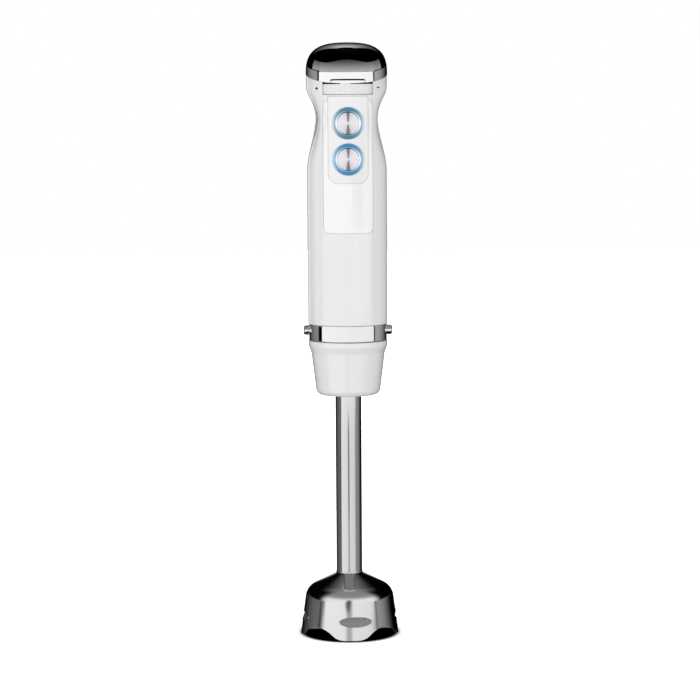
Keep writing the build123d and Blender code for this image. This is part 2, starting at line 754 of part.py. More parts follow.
def speed_wheel():
    """A thumb wheel with fine upright ribs round its edge."""
    wheel = tube(WHEEL_R, SPINDLE_R + RUN, WHEEL_LEVEL, WHEEL_TOP)
    wheel -= tube(WHEEL_R - WHEEL_RIM, WHEEL_HUB_R, WHEEL_LEVEL - CUT, WHEEL_TOP - WHEEL_WEB)
    wheel -= around(rod(WHEEL_RIB_R, WHEEL_LEVEL - CUT, WHEEL_TOP + CUT, x=WHEEL_R), WHEEL_RIBS)
    return Pos(0, WHEEL_Y, 0) * wheel


def cord_gland():
    """The rubber bush where a cord goes in, flanged on both sides of the rear wall."""
    z = Z_HEAD + GLAND_Z
    inner = HEAD_R - WALL
    inner_face = math.sqrt(inner**2 - GLAND_FLANGE_R**2) - SEAT
    end = HEAD_R + GLAND_OUT
    collar = HEAD_R + GLAND_FLANGE_T
    bush = rod_y(GLAND_R, inner_face, end, 0, z)
    bush += rod_y(GLAND_FLANGE_R, inner_face - GLAND_FLANGE_T, inner_face, 0, z)
    bush += rod_y(GLAND_FLANGE_R, inner, collar, 0, z) - rod(HEAD_R + SEAT, 0, Z_TOP)
    return bush - rod_y(GLAND_BORE_R, 0, FAR, 0, z)


def chrome_ring():
    low, high = Z_RING + SLIDE, Z_BODY - SEAT
    inner = RING_R - RING_WALL
    corners = [(inner, low), (RING_R, low), (RING_R, high), (inner, high)]
    ring = turned(corners, [0, RING_ROUND, RING_ROUND, 0])
    return ring - rod_x(RELEASE_R + SLIDE, -FAR, FAR, LATCH_LEVEL)


def coupling_socket():
    """The socket that takes the spigot of the arm, with room for the latch ring and the release buttons."""
    solid = tube(SOCKET_R, SOCKET_IN, SOCKET_BASE, SOCKET_ROOF)
    solid += tube(SOCKET_R, SOCKET_HOLE_R, SOCKET_ROOF, SOCKET_END)
    solid -= tube(FAR, SOCKET_R - HOOK_DEPTH, HOOK_LEVEL - SEAT, HOOK_LEVEL + HOOK_H + SEAT)
    pocket = LATCH_WIRE_R + SEAT
    solid -= rod(LATCH_HALF_X + 2 * LATCH_WIRE_R, LATCH_LEVEL - pocket, LATCH_LEVEL + pocket)
    side = RELEASE_FLANGE_R + SLIDE
    solid -= block((-FAR, FAR), (-side, side), (LATCH_LEVEL - side, LATCH_LEVEL + side))
    key = SPIGOT_R + KEY_H + SLIDE
    half = KEY_W / 2 + SLIDE
    solid -= block((-key, key), (-half, half), (SOCKET_BASE - CUT, SOCKET_ROOF))
    shank = rod(MOTOR_SCREW_R + SEAT, SOCKET_ROOF - CUT, SOCKET_END + CUT, x=SOCKET_SCREWS_R)
    neck = SOCKET_ROOF + MOTOR_SCREW_HEAD_H
    head = rod(MOTOR_SCREW_HEAD_R + SEAT, SOCKET_ROOF - CUT, neck, x=SOCKET_SCREWS_R)
    return solid - around(shank + head, SOCKET_SCREWS)


def socket_screws():
    """Screws up through the roof of the socket into the lower motor bracket."""
    neck = SOCKET_ROOF + MOTOR_SCREW_HEAD_H
    head = rod(MOTOR_SCREW_HEAD_R, SOCKET_ROOF + SEAT, neck, x=SOCKET_SCREWS_R)
    screw = head + rod(MOTOR_SCREW_R, neck, LOW_BRACKET + BRACKET_H - SEAT, x=SOCKET_SCREWS_R)
    return Compound(around(screw, SOCKET_SCREWS))


def latch_ring():
    """An oval ring of spring wire: its long sides sit in the groove of the spigot."""
    path = Ellipse(LATCH_HALF_X, LATCH_HALF_Y).wire()
    wire = sweep(Plane(path @ 0, z_dir=path % 0) * Circle(LATCH_WIRE_R), path)
    return Pos(0, 0, LATCH_LEVEL) * wire


def release_button(side):
    """A round push button with a flange behind the chrome ring."""
    head = rod_x(RELEASE_R, FLANGE_X - RELEASE_FLANGE_T, RING_R + RELEASE_OUT, LATCH_LEVEL)
    head = fillet(head.faces().sort_by(Axis.X)[-1].edges(), RELEASE_ROUND)
    head += rod_x(RELEASE_FLANGE_R, FLANGE_X - RELEASE_FLANGE_T, FLANGE_X, LATCH_LEVEL)
    return head if side > 0 else mirror(head, Plane.YZ)


def arm_coupler():
    """The white coupler of the arm: a hollow cone with the keyed spigot on top."""
    step_top = Z_RING - COUPLER_RIM_H
    side_top = step_top - COUPLER_STEP_H
    bore = TUBE_R + RUN
    sleeve = bore + COUPLER_WALL
    hollow = SPIGOT_R - SPIGOT_WALL
    floor = Z_COUPLER + COUPLER_WALL
    roof = Z_RING - COUPLER_WALL
    points = [
        (bore, Z_COUPLER),
        (COUPLER_FOOT_R, Z_COUPLER),
        (COUPLER_SIDE_R, side_top),
        (COUPLER_RIM_R, step_top),
        (COUPLER_RIM_R, Z_RING),
        (SPIGOT_R, Z_RING),
        (SPIGOT_R, SPIGOT_TOP),
        (hollow, SPIGOT_TOP),
        (hollow, roof),
        (COUPLER_SIDE_R - COUPLER_WALL, roof),
        (COUPLER_SIDE_R - COUPLER_WALL, side_top),
        (COUPLER_FOOT_R - COUPLER_WALL, floor),
        (sleeve, floor),
        (sleeve, TUBE_TOP),
        (bore, TUBE_TOP),
    ]
    rounds = [COUPLER_FOOT_ROUND, COUPLER_SIDE_ROUND, COUPLER_RIM_ROUND, COUPLER_EDGE_ROUND]
    sharp = len(points) - len(rounds) - 1
    solid = turned(points, [0] + rounds + [0] * sharp)
    groove = GROOVE_H / 2
    solid -= tube(FAR, SPIGOT_R - GROOVE_DEPTH, LATCH_LEVEL - groove, LATCH_LEVEL + groove)
    inside = SPIGOT_R - SPIGOT_WALL / 2
    key = SPIGOT_R + KEY_H
    for limits in ((-key, -inside), (inside, key)):
        solid += block(limits, (-KEY_W / 2, KEY_W / 2), (SPIGOT_TOP - KEY_L, SPIGOT_TOP))
    return solid


def arm_tube():
    return tube(TUBE_R, TUBE_IN, BELL_H, TUBE_TOP)


def rim_arch():
    """A bar with the outline of one arch of the wavy rim, drawn from three tangent arcs."""
    half = BELL_RIM_R * math.sin(math.pi / LOBES) - LAND_W / 2
    span = (half**2 + ARCH_H**2) / (2 * ARCH_H)
    arch_r = span - ARCH_SHOULDER_R
    turn = math.degrees(math.atan2(span - ARCH_H, half))
    right = CenterArc((half, ARCH_SHOULDER_R), ARCH_SHOULDER_R, 270, turn - 90)
    top = CenterArc((0, ARCH_H - arch_r), arch_r, turn, 180 - 2 * turn)
    left = CenterArc((-half, ARCH_SHOULDER_R), ARCH_SHOULDER_R, 360 - turn, turn - 90)
    low = Polyline((-half, 0), (-half, -ARCH_H), (half, -ARCH_H), (half, 0))
    return bar(make_face(right + top + left + low), FRONT)


def bell_guard():
    """The pressed bell with a wavy rim and oval vents, and the bearing boss under its cone."""
    spigot = TUBE_IN - RUN
    spigot_top = BELL_H + BELL_SPIGOT_L
    bore = BUSH_R + RUN
    shoulder = BELL_CONE_TOP - BELL_CONE_H
    slope = BELL_CONE_H / (BELL_SHOULDER_R - TUBE_R)
    drop = BELL_WALL * math.sqrt(1 + slope**2)
    under_cone = BELL_CONE_TOP - drop - slope * (BELL_BOSS_R - TUBE_R)
    points = [
        (BELL_RIM_R, 0),
        (BELL_SHOULDER_R, shoulder),
        (TUBE_R, BELL_CONE_TOP),
        (TUBE_R, BELL_H),
        (spigot, BELL_H),
        (spigot, spigot_top),
        (bore, spigot_top),
        (bore, BELL_BOSS_Z),
        (BELL_BOSS_R, BELL_BOSS_Z),
        (BELL_BOSS_R, under_cone),
        (BELL_SHOULDER_R - BELL_WALL, shoulder + slope * BELL_WALL - drop),
        (BELL_RIM_R - BELL_WALL, 0),
    ]
    outside, inside = [0, BELL_CORNER, BELL_NECK_ROUND], [BELL_CORNER - BELL_WALL, 0]
    sharp = len(points) - len(outside) - len(inside)
    solid = turned(points, outside + [0] * sharp + inside) - around(rim_arch(), LOBES, 180 / LOBES)
    vent = Pos(0, 0, VENT_Z) * bar(Ellipse(VENT_W / 2, VENT_H / 2), FRONT)
    return solid - around(vent, LOBES, VENT_TURN)


def shaft_seal():
    return tube(BUSH_R, SHAFT_R + RUN, BELL_BOSS_Z + SEAT, BELL_BOSS_Z + SEAT + SEAL_H)


def arm_lower_bush():
    low = BELL_BOSS_Z + SEAL_H + 2 * SEAT
    return tube(BUSH_R, SHAFT_R + RUN, low, low + BUSH_L)


def arm_upper_bush():
    body = tube(TUBE_IN - RUN, SHAFT_R + RUN, TUBE_TOP - UPPER_BUSH_L, TUBE_TOP)
    return body + tube(TUBE_R, SHAFT_R + RUN, TUBE_TOP, TUBE_TOP + BUSH_FLANGE_H)


def blade_shaft():
    """The long shaft with the collar that the blade is clamped against."""
    shaft = rod(SHAFT_R, BLADE_Z - NUT_H - SEAT, DOG_FLOOR - SEAT)
    return shaft + rod(COLLAR_R, BLADE_TOP, BLADE_TOP + COLLAR_H)


def blade():
    """A hub with one wing bent up and one bent down."""
    solid = rod(BLADE_HUB_R, BLADE_Z, BLADE_TOP)
    root, tip = WING_ROOT / 2, WING_TIP / 2
    plan = make_face(Polyline((0, -root), (WING_L, -tip), (WING_L, tip), (0, root), close=True))
    wing = Pos(0, 0, -WING_T / 2) * extrude(plan, WING_T)
    edge = Pos(max(NUT_R, COLLAR_R) + SEAT, 0, BLADE_Z + BLADE_T / 2)
    solid += edge * Rot(0, -WING_PITCH, 0) * wing
    solid += Rot(0, 0, 180) * edge * Rot(0, WING_PITCH, 0) * wing
    return solid - rod(SHAFT_R + RUN, 0, BELL_H)


def blade_nut():
    nut = Pos(0, 0, BLADE_Z - NUT_H) * extrude(RegularPolygon(NUT_R, 6), NUT_H)
    return nut - rod(SHAFT_R + RUN, 0, BELL_H)


def hexagon(flats, low, high):
    return Pos(0, 0, low) * extrude(RegularPolygon(flats / 2, 6, major_radius=False), high - low)


def arm_drive_dog():
    """The driven half of the coupling: a cup with a six-sided pocket."""
    cup = tube(DOG_R, SHAFT_R + RUN, DOG_LEVEL, DOG_TOP)
    return cup - hexagon(DOG_FLATS + 2 * SLIDE, DOG_FLOOR, DOG_TOP + CUT)


def motor_drive_dog():
    """The driving half: a six-sided nose on a round hub."""
    nose = hexagon(DOG_FLATS, DOG_FLOOR + 2 * SLIDE, DOG_TOP + STEP_GAP)
    hub = rod(DOG_HUB_R, DOG_TOP + STEP_GAP, DOG_TOP + STEP_GAP + DOG_H)
    return nose + hub - rod(MOTOR_SHAFT_R + RUN, DOG_TOP - DOG_POCKET / 2, Z_BODY + FAR)


def motor_shaft():
    return rod(MOTOR_SHAFT_R, DOG_TOP - DOG_POCKET / 2 + SEAT, HIGH_BRACKET_TOP - SEAT)


def bearing(low):
    """A ball bearing with shields set back between its two races."""
    high = low + BEARING_H
    solid = tube(BEARING_R, MOTOR_SHAFT_R + RUN, low, high)
    races = (BEARING_R - RACE_W, MOTOR_SHAFT_R + RACE_W)
    solid -= tube(*races, low - CUT, low + SHIELD_DEPTH)
    return solid - tube(*races, high - SHIELD_DEPTH, high + CUT)


def bracket_disc(low):
    """A motor end plate with a hole for the shaft, screw holes and windows for the air."""
    high = low + BRACKET_H
    disc = tube(MOTOR_R, MOTOR_SHAFT_R + SHAFT_HOLE, low, high)
    disc -= around(rod(AIR_WINDOW_R, low - CUT, high + CUT, x=YOKE_IN - AIR_WINDOW_R), 4, 45)
    return disc - around(rod(MOTOR_SCREW_R + SEAT, low - CUT, high + CUT, x=MOTOR_SCREW_AT), 2, 90)


def lower_motor_bracket():
    high = LOW_BRACKET + BRACKET_H
    disc = bracket_disc(LOW_BRACKET) - rod(BEARING_R + RUN, high - BEARING_H - RUN, high + CUT)
    hole = rod(MOTOR_SCREW_R + SEAT, LOW_BRACKET - CUT, high + CUT, x=SOCKET_SCREWS_R)
    return disc - around(hole, SOCKET_SCREWS)


def brush_block(x, grow, wall):
    """A box along X at the height of the brushes, of the brush's section grown all round."""
    wide, tall = BRUSH_W / 2 + grow + wall, BRUSH_H / 2 + grow + wall
    return block(x, (-wide, wide), (COMM_MIDDLE - tall, COMM_MIDDLE + tall))


def upper_motor_bracket():
    """The upper end plate with two blocks for the brush holders."""
    disc = bracket_disc(HIGH_BRACKET)
    disc -= rod(BEARING_R + RUN, HIGH_BRACKET - CUT, HIGH_BRACKET + BEARING_H + RUN)
    seat = HIGH_BRACKET_TOP - MOTOR_SCREW_HEAD_H - SEAT
    head = rod(MOTOR_SCREW_HEAD_R + SEAT, seat, HIGH_BRACKET_TOP + CUT, x=MOTOR_SCREW_AT)
    disc -= around(head, 2, 90)
    half = BLOCK_W / 2
    outside = math.sqrt(MOTOR_R**2 - half**2)
    stock = block((HOLDER_START, outside), (-half, half), (COMM_LEVEL, HIGH_BRACKET))
    stock -= brush_block((0, FAR), 2 * RUN, HOLDER_WALL)
    for one in around(stock, 2):
        disc += one
    return disc


def brush_holders():
    """Two rectangular brass tubes with closed ends, one for each brush."""
    end = MOTOR_R - HOLDER_IN
    holder = brush_block((HOLDER_START, end), RUN, HOLDER_WALL)
    holder -= brush_block((0, end - HOLDER_WALL), RUN, 0)
    return Compound(around(holder, 2))


def carbon_brushes():
    start = COMM_R + BRUSH_GAP
    return Compound(around(brush_block((start, start + BRUSH_L), 0, 0), 2))


def stator_core():
    """A two-pole stack with holes for the long motor screws."""
    yoke = tube(YOKE_R, YOKE_IN, STACK_LOW, STACK_HIGH)
    pole = tube(YOKE_IN + SINK, BORE_R, STACK_LOW, STACK_HIGH)
    pole &= wedge(POLE_HALF, STACK_LOW - CUT, STACK_HIGH + CUT)
    for one in around(pole, 2):
        yoke += one
    hole = rod(MOTOR_SCREW_R + SEAT, STACK_LOW - CUT, STACK_HIGH + CUT, x=MOTOR_SCREW_AT)
    return yoke - around(hole, 2, 90)


def field_coils():
    """Two saddle coils, one round each pole."""
    low, high = STACK_LOW - COIL_END, STACK_HIGH + COIL_END
    coil = tube(YOKE_IN - SEAT, BORE_R + AIR_GAP, low, high) & wedge(COIL_HALF, low - CUT, high + CUT)
    coil -= wedge(POLE_HALF + SEAT, STACK_LOW - SEAT, STACK_HIGH + SEAT)
    return Compound(around(coil, 2))


def armature_core():
    core = tube(ARMATURE_R, MOTOR_SHAFT_R + RUN, STACK_LOW, STACK_HIGH)
    half = SLOT_W / 2
    slot = block((ARMATURE_R - SLOT_DEPTH, FAR), (-half, half), (STACK_LOW - CUT, STACK_HIGH + CUT))
    return core - around(slot, SLOTS)


def armature_windings():
    """Wire bundles in the slots, joined by the turns at both ends of the stack."""
    inner, outer = MOTOR_SHAFT_R + CUT, ARMATURE_R - CUT
    solid = Part()
    for low in (STACK_LOW - END_TURN_H, STACK_HIGH + SEAT):
        high = low + END_TURN_H - SEAT
        corners = [(inner, low), (outer, low), (outer, high), (inner, high)]
        solid += turned(corners, [WINDING_ROUND] * 4)
    half = SLOT_W / 2 - SEAT
    root = ARMATURE_R - SLOT_DEPTH + SEAT
    length = (STACK_LOW - WINDING_ROUND, STACK_HIGH + WINDING_ROUND)
    bundle = block((root, outer - SEAT), (-half, half), length)
    for one in around(bundle, SLOTS):
        solid += one
    return solid


def commutator():
    drum = tube(COMM_R, MOTOR_SHAFT_R + RUN, COMM_LEVEL, COMM_TOP)
    half = COMM_SLIT_W / 2
    slit = block((COMM_R - COMM_SLIT_DEPTH, FAR), (-half, half), (COMM_LEVEL - CUT, COMM_TOP + CUT))
    return drum - around(slit, SLOTS, 180 / SLOTS)


def cooling_fan():
    """A disc with upright blades on a hub."""
    top = FAN_LEVEL + FAN_H
    hub = MOTOR_SHAFT_R + FAN_HUB
    fan = rod(FAN_R, FAN_LEVEL, FAN_LEVEL + FAN_DISC) + rod(hub, FAN_LEVEL, top)
    half = FAN_BLADE_T / 2
    vane = block((hub - SINK, FAN_R - SINK), (-half, half), (FAN_LEVEL + FAN_DISC / 2, top))
    for one in around(vane, FAN_BLADES):
        fan += one
    return fan - rod(MOTOR_SHAFT_R + RUN, FAN_LEVEL - CUT, top + CUT)


def motor_screws():
    """Two long screws that clamp the stack between the end plates."""
    neck = HIGH_BRACKET_TOP - MOTOR_SCREW_HEAD_H
    screw = rod(MOTOR_SCREW_R, LOW_BRACKET + SEAT, neck, x=MOTOR_SCREW_AT)
    screw += rod(MOTOR_SCREW_HEAD_R, neck, HIGH_BRACKET_TOP - SEAT, x=MOTOR_SCREW_AT)
    return Compound(around(screw, 2, 90))


def damper(low):
    return tube(MOTOR_R, MOTOR_R - DAMPER_W, low, low + DAMPER_H)


UPPER, LOWER = BUTTON_LEVELS
PIECES = {
    "front_housing": front_housing(),
    "rear_housing": rear_housing(),
    "shell_screws": shell_screws(),
    "top_cap": top_cap(),
    "front_panel": front_panel(),
    "button_plate": button_plate(),
    "upper_light_ring": light_ring(UPPER),
    "lower_light_ring": light_ring(LOWER),
    "upper_button_cap": button_cap(UPPER),
    "lower_button_cap": button_cap(LOWER),
    "upper_button_plunger": button_plunger(UPPER),
    "lower_button_plunger": button_plunger(LOWER),
    "upper_button_spring": button_spring(UPPER),
    "lower_button_spring": button_spring(LOWER),
    "control_board": control_board(),
    "board_screws": board_screws(),
    "board_components": board_components(),
    "button_switches": button_switches(),
    "indicator_leds": indicator_leds(),
    "speed_potentiometer": speed_potentiometer(),
    "wheel_spindle": wheel_spindle(),
    "speed_wheel": speed_wheel(),
    "cord_gland": cord_gland(),
    "chrome_ring": chrome_ring(),
    "coupling_socket": coupling_socket(),
    "socket_screws": socket_screws(),
    "latch_ring": latch_ring(),
    "left_release_button": release_button(-1),
    "right_release_button": release_button(1),
    "lower_motor_bracket": lower_motor_bracket(),
    "upper_motor_bracket": upper_motor_bracket(),
    "lower_bearing": bearing(LOW_BRACKET + BRACKET_H - BEARING_H),
    "upper_bearing": bearing(HIGH_BRACKET),
    "lower_damper": damper(SOCKET_END),
    "upper_damper": damper(HIGH_BRACKET_TOP),
    "stator_core": stator_core(),
    "field_coils": field_coils(),
    "brush_holders": brush_holders(),
    "carbon_brushes": carbon_brushes(),
    "motor_screws": motor_screws(),
    "motor_shaft": motor_shaft(),
    "armature_core": armature_core(),
    "armature_windings": armature_windings(),
    "commutator": commutator(),
    "cooling_fan": cooling_fan(),
    "motor_drive_dog": motor_drive_dog(),
    "arm_coupler": arm_coupler(),
    "arm_tube": arm_tube(),
    "bell_guard": bell_guard(),
    "arm_lower_bush": arm_lower_bush(),
    "arm_upper_bush": arm_upper_bush(),
    "shaft_seal": shaft_seal(),
    "blade_shaft": blade_shaft(),
    "blade": blade(),
    "blade_nut": blade_nut(),
    "arm_drive_dog": arm_drive_dog(),
}

os.makedirs("parts", exist_ok=True)
for name, piece in PIECES.items():
    export_step(piece, f"parts/{name}.step")
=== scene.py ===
import json
import math
import bpy
import numpy as np
from mathutils import Matrix, Vector


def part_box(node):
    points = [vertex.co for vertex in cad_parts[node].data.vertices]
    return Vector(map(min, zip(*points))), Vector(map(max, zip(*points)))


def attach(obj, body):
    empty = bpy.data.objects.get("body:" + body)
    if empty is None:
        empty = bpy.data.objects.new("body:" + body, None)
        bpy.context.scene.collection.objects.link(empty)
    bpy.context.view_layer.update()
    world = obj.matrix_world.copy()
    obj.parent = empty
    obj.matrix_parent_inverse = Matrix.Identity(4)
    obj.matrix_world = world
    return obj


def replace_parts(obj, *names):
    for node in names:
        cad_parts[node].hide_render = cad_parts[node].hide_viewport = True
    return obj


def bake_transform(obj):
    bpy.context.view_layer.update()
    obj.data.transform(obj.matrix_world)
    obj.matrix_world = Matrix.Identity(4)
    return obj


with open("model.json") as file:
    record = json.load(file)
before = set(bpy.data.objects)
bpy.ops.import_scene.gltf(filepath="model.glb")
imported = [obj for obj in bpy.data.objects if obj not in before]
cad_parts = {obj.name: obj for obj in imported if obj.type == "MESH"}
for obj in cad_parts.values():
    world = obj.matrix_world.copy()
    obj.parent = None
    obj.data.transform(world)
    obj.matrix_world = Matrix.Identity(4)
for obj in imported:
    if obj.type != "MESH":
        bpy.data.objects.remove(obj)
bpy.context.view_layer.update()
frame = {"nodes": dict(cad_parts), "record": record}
NODES = frame["nodes"]
MM = 0.001

# Places that the pieces and patterns share with the solids, in millimetres and degrees
HEAD_R = 27.1
TUBE_R = 8.8
BELL_H = 42.9
BELL_RIM_R, BELL_SHOULDER_R, BELL_WALL_H = 33.3, 29.2, 31.1
BELL_SLOPE = (BELL_RIM_R - BELL_SHOULDER_R) / BELL_WALL_H
VENTS = 4
VENT_HALF_W, VENT_HALF_H, VENT_Z, VENT_TURN = 11.0, 3.3, 12.3, 5.5
BUTTON_Z = {"upper": 347.5, "lower": 323.5}
BUTTON_R, LIGHT_R = 7.6, 10.55
MARK_TURN = 49.2

# The photograph's frame: its side in pixels, and a pixel's size at the axis in millimetres
FRAME_PX, PX_MM = 700, 0.678

# Node settings that come up often
COLOUR = {"data_type": "RGBA"}
SMOOTH = {"interpolation_type": "SMOOTHSTEP"}
LENGTH = {"operation": "LENGTH"}
TIMES = {"operation": "MULTIPLY"}
LARGER = {"operation": "MAXIMUM"}
UNSIGNED = {"operation": "ABSOLUTE"}


def linear(hex_colour):
    """An sRGB hex colour as linear red, green, blue and alpha."""
    s = np.array([int(hex_colour[k:k + 2], 16) / 255 for k in (1, 3, 5)])
    low, high = s / 12.92, ((s + 0.055) / 1.055) ** 2.4
    return (*np.where(s <= 0.04045, low, high), 1.0)


def add(tree, kind, settings=None, values=None, links=None):
    """A node of one kind, with its settings, the values of its inputs and what its inputs are linked to."""
    node = tree.nodes.new("ShaderNode" + kind)
    for name, value in (settings or {}).items():
        setattr(node, name, value)
    for name, value in (values or {}).items():
        node.inputs[name].default_value = value
    for name, socket in (links or {}).items():
        tree.links.new(socket, node.inputs[name])
    return node


def empty_tree(owner):
    """The node tree of a material or a world, cleared."""
    owner.use_nodes = True
    owner.node_tree.nodes.clear()
    return owner.node_tree


def finish(name, metallic=0.0, **constants):
    """A bare finish, as (material, its tree, its shader). What is the same all over is set on the shader."""
    made = bpy.data.materials.new(name)
    tree = empty_tree(made)
    shader = add(tree, "BsdfPrincipled", values={"Metallic": metallic, **constants})
    add(tree, "OutputMaterial", links={"Surface": shader.outputs[0]})
    return made, tree, shader


def wear(tree, shader, pattern, colours, rough, lift):
    """Lets one pattern, 0 to 1, drive a finish: it mixes two colours and two roughness values, and makes a
    relief of lift mm."""
    tone = add(tree, "Mix", COLOUR, {"A": linear(colours[0]), "B": linear(colours[1])}, {"Factor": pattern})
    sheen = add(tree, "MapRange", values={"To Min": rough[0], "To Max": rough[1]}, links={"Value": pattern})
    relief = add(tree, "Bump", values={"Strength": 1.0, "Distance": lift * MM}, links={"Height": pattern})
    tree.links.new(tone.outputs["Result"], shader.inputs["Base Color"])
    tree.links.new(sheen.outputs[0], shader.inputs["Roughness"])
    tree.links.new(relief.outputs[0], shader.inputs["Normal"])


def wave_scale(pitch):
    """The scale of a wave texture whose bands lie pitch mm apart. At scale 1 they lie 2 pi / 20 m apart."""
    return 2 * math.pi / 20 / (pitch * MM)


def from_middle(tree, height):
    """Where a point lies from a middle on the axis at a height in mm, seen square from the front: as (the way
    from the middle, with no depth, and how long it is)."""
    spot = add(tree, "TexCoord").outputs["Object"]
    centred = add(tree, "Mapping", values={"Location": (0, 0, -height * MM)}, links={"Vector": spot})
    flat = add(tree, "Mapping", values={"Scale": (1, 0, 1)}, links={"Vector": centred.outputs[0]}).outputs[0]
    reach = add(tree, "VectorMath", LENGTH, links={0: flat}).outputs["Value"]
    return flat, reach


def grained(name, colours, rough, grain, lift, stretch=(1, 1, 1), metallic=0.0, **constants):
    """A finish with one grain: noise whose blotches are grain mm across, drawn out along the axes by
    stretch."""
    made, tree, shader = finish(name, metallic, **constants)
    spot = add(tree, "TexCoord").outputs["Object"]
    size = [1 / (grain * MM * s) for s in stretch]
    spread = add(tree, "Mapping", values={"Scale": size}, links={"Vector": spot})
    noise = add(tree, "TexNoise", values={"Scale": 1.0, "Detail": 3.0}, links={"Vector": spread.outputs[0]})
    wear(tree, shader, noise.outputs[0], colours, rough, lift)
    return made


def banded(name, colours, rough, pitch, lift, axis="Z", metallic=0.0, **constants):
    """A finish of straight bands pitch mm apart, square to one axis."""
    made, tree, shader = finish(name, metallic, **constants)
    spot = add(tree, "TexCoord").outputs["Object"]
    bands = add(tree, "TexWave", {"wave_type": "BANDS", "bands_direction": axis},
                {"Scale": wave_scale(pitch), "Distortion": 0.4}, {"Vector": spot})
    wear(tree, shader, bands.outputs[0], colours, rough, lift)
    return made


def polished_bell():
    """Pressed stainless steel: buffed outside in fine rings round the axis, and left pale and dull from the
    press inside."""
    made, tree, shader = finish("buffed_stainless_bell", 1.0)
    place = add(tree, "TexCoord").outputs
    # Buffing lines: noise over the distance from the axis and the height only, so that each line is a ring
    width = 0.4 * MM
    level = add(tree, "Mapping", values={"Scale": (1, 1, 0)}, links={"Vector": place["Object"]}).outputs[0]
    reach = add(tree, "VectorMath", LENGTH, links={0: level}).outputs["Value"]
    height = add(tree, "SeparateXYZ", links={0: place["Object"]}).outputs["Z"]
    line = add(tree, "CombineXYZ", links={"X": reach, "Z": height}).outputs[0]
    lines = add(tree, "TexNoise", values={"Scale": 1 / width, "Detail": 2.0}, links={"Vector": line})
    lines = lines.outputs[0]
    # The inner wall is where the surface faces the axis
    inward = add(tree, "VectorMath", {"operation": "DOT_PRODUCT"}, links={0: place["Normal"], 1: level})
    inside = add(tree, "MapRange", values={"From Min": 0.0, "From Max": -2 * MM},
                 links={"Value": inward.outputs["Value"]}).outputs[0]
    outer = add(tree, "Mix", COLOUR, {"A": linear("#E8E8E8"), "B": linear("#DDDDDE")}, {"Factor": lines})
    outer = outer.outputs["Result"]
    tone = add(tree, "Mix", COLOUR, {"B": linear("#C4C4C5")}, {"Factor": inside, "A": outer})
    buffed = add(tree, "MapRange", values={"To Min": 0.10, "To Max": 0.15}, links={"Value": lines})
    dull = add(tree, "Mix", values={"B": 0.55}, links={"Factor": inside, "A": buffed.outputs[0]})
    relief = add(tree, "Bump", values={"Strength": 1.0, "Distance": 0.0012 * MM}, links={"Height": lines})
    tree.links.new(tone.outputs["Result"], shader.inputs["Base Color"])
    tree.links.new(dull.outputs["Result"], shader.inputs["Roughness"])
    tree.links.new(relief.outputs[0], shader.inputs["Normal"])
    return made


def spun_button(name, height):
    """Aluminium turned on a lathe: grooves round the middle, 0.5 mm apart, drawn coarser than real ones so
    that they show. They smear each reflection across the grooves. Above and below the middle, where the
    tool marks run level, two dark fans with a trace of lilac are painted into the colour: a painted
    reflection of the dark that such grooves mirror there."""
    anisotropy = {"Anisotropic": 0.6, "Anisotropic Rotation": 0.25}
    made, tree, shader = finish("spun_aluminium_" + name, 1.0, **anisotropy)
    flat, reach = from_middle(tree, height)
    line = add(tree, "CombineXYZ", links={"X": reach})
    grooves = add(tree, "TexWave", {"wave_type": "BANDS", "bands_direction": "X"},
                  {"Scale": wave_scale(0.5)}, {"Vector": line.outputs[0]})
    wear(tree, shader, grooves.outputs[0], ("#EFEDF0", "#E6E4E8"), (0.17, 0.22), 0.0012)
    # Lean is the offset from the upright over the reach plus 1 mm, and less below the middle than above it.
    # A painted fan of shade is what leans less than its width, so it is a third wider below. The middle stays
    # unpainted
    place = add(tree, "SeparateXYZ", links={0: flat}).outputs
    share = add(tree, "Math", {"operation": "ADD"}, {1: 1.0 * MM}, {0: reach})
    lean = add(tree, "Math", {"operation": "DIVIDE"}, links={0: place["X"], 1: share.outputs[0]})
    lean = add(tree, "Math", UNSIGNED, links={0: lean.outputs[0]})
    below = add(tree, "MapRange", values={"From Min": -1 * MM, "From Max": 1 * MM, "To Min": 0.75},
                links={"Value": place["Z"]})
    lean = add(tree, "Math", TIMES, links={0: lean.outputs[0], 1: below.outputs[0]})
    outer = add(tree, "MapRange", values={"From Min": 0.3 * MM, "From Max": 1.1 * MM}, links={"Value": reach})
    tone = shader.inputs["Base Color"].links[0].from_socket
    # Painted reflection: a broad faint fan of shade, and a narrow dark one over it
    for width, depth, colour in ((0.70, 0.55, "#C6BFCA"), (0.25, 0.90, "#6E6977")):
        painted_fan = add(tree, "MapRange", SMOOTH, {"From Min": width, "From Max": 0.03, "To Max": depth},
                  {"Value": lean.outputs[0]})
        painted_fan = add(tree, "Math", TIMES, links={0: painted_fan.outputs[0], 1: outer.outputs[0]})
        tone = add(tree, "Mix", COLOUR, {"B": linear(colour)}, {"Factor": painted_fan.outputs[0], "A": tone})
        tone = tone.outputs["Result"]
    tree.links.new(tone, shader.inputs["Base Color"])
    along = add(tree, "Tangent", {"direction_type": "RADIAL", "axis": "Y"})
    tree.links.new(along.outputs[0], shader.inputs["Tangent"])
    return made


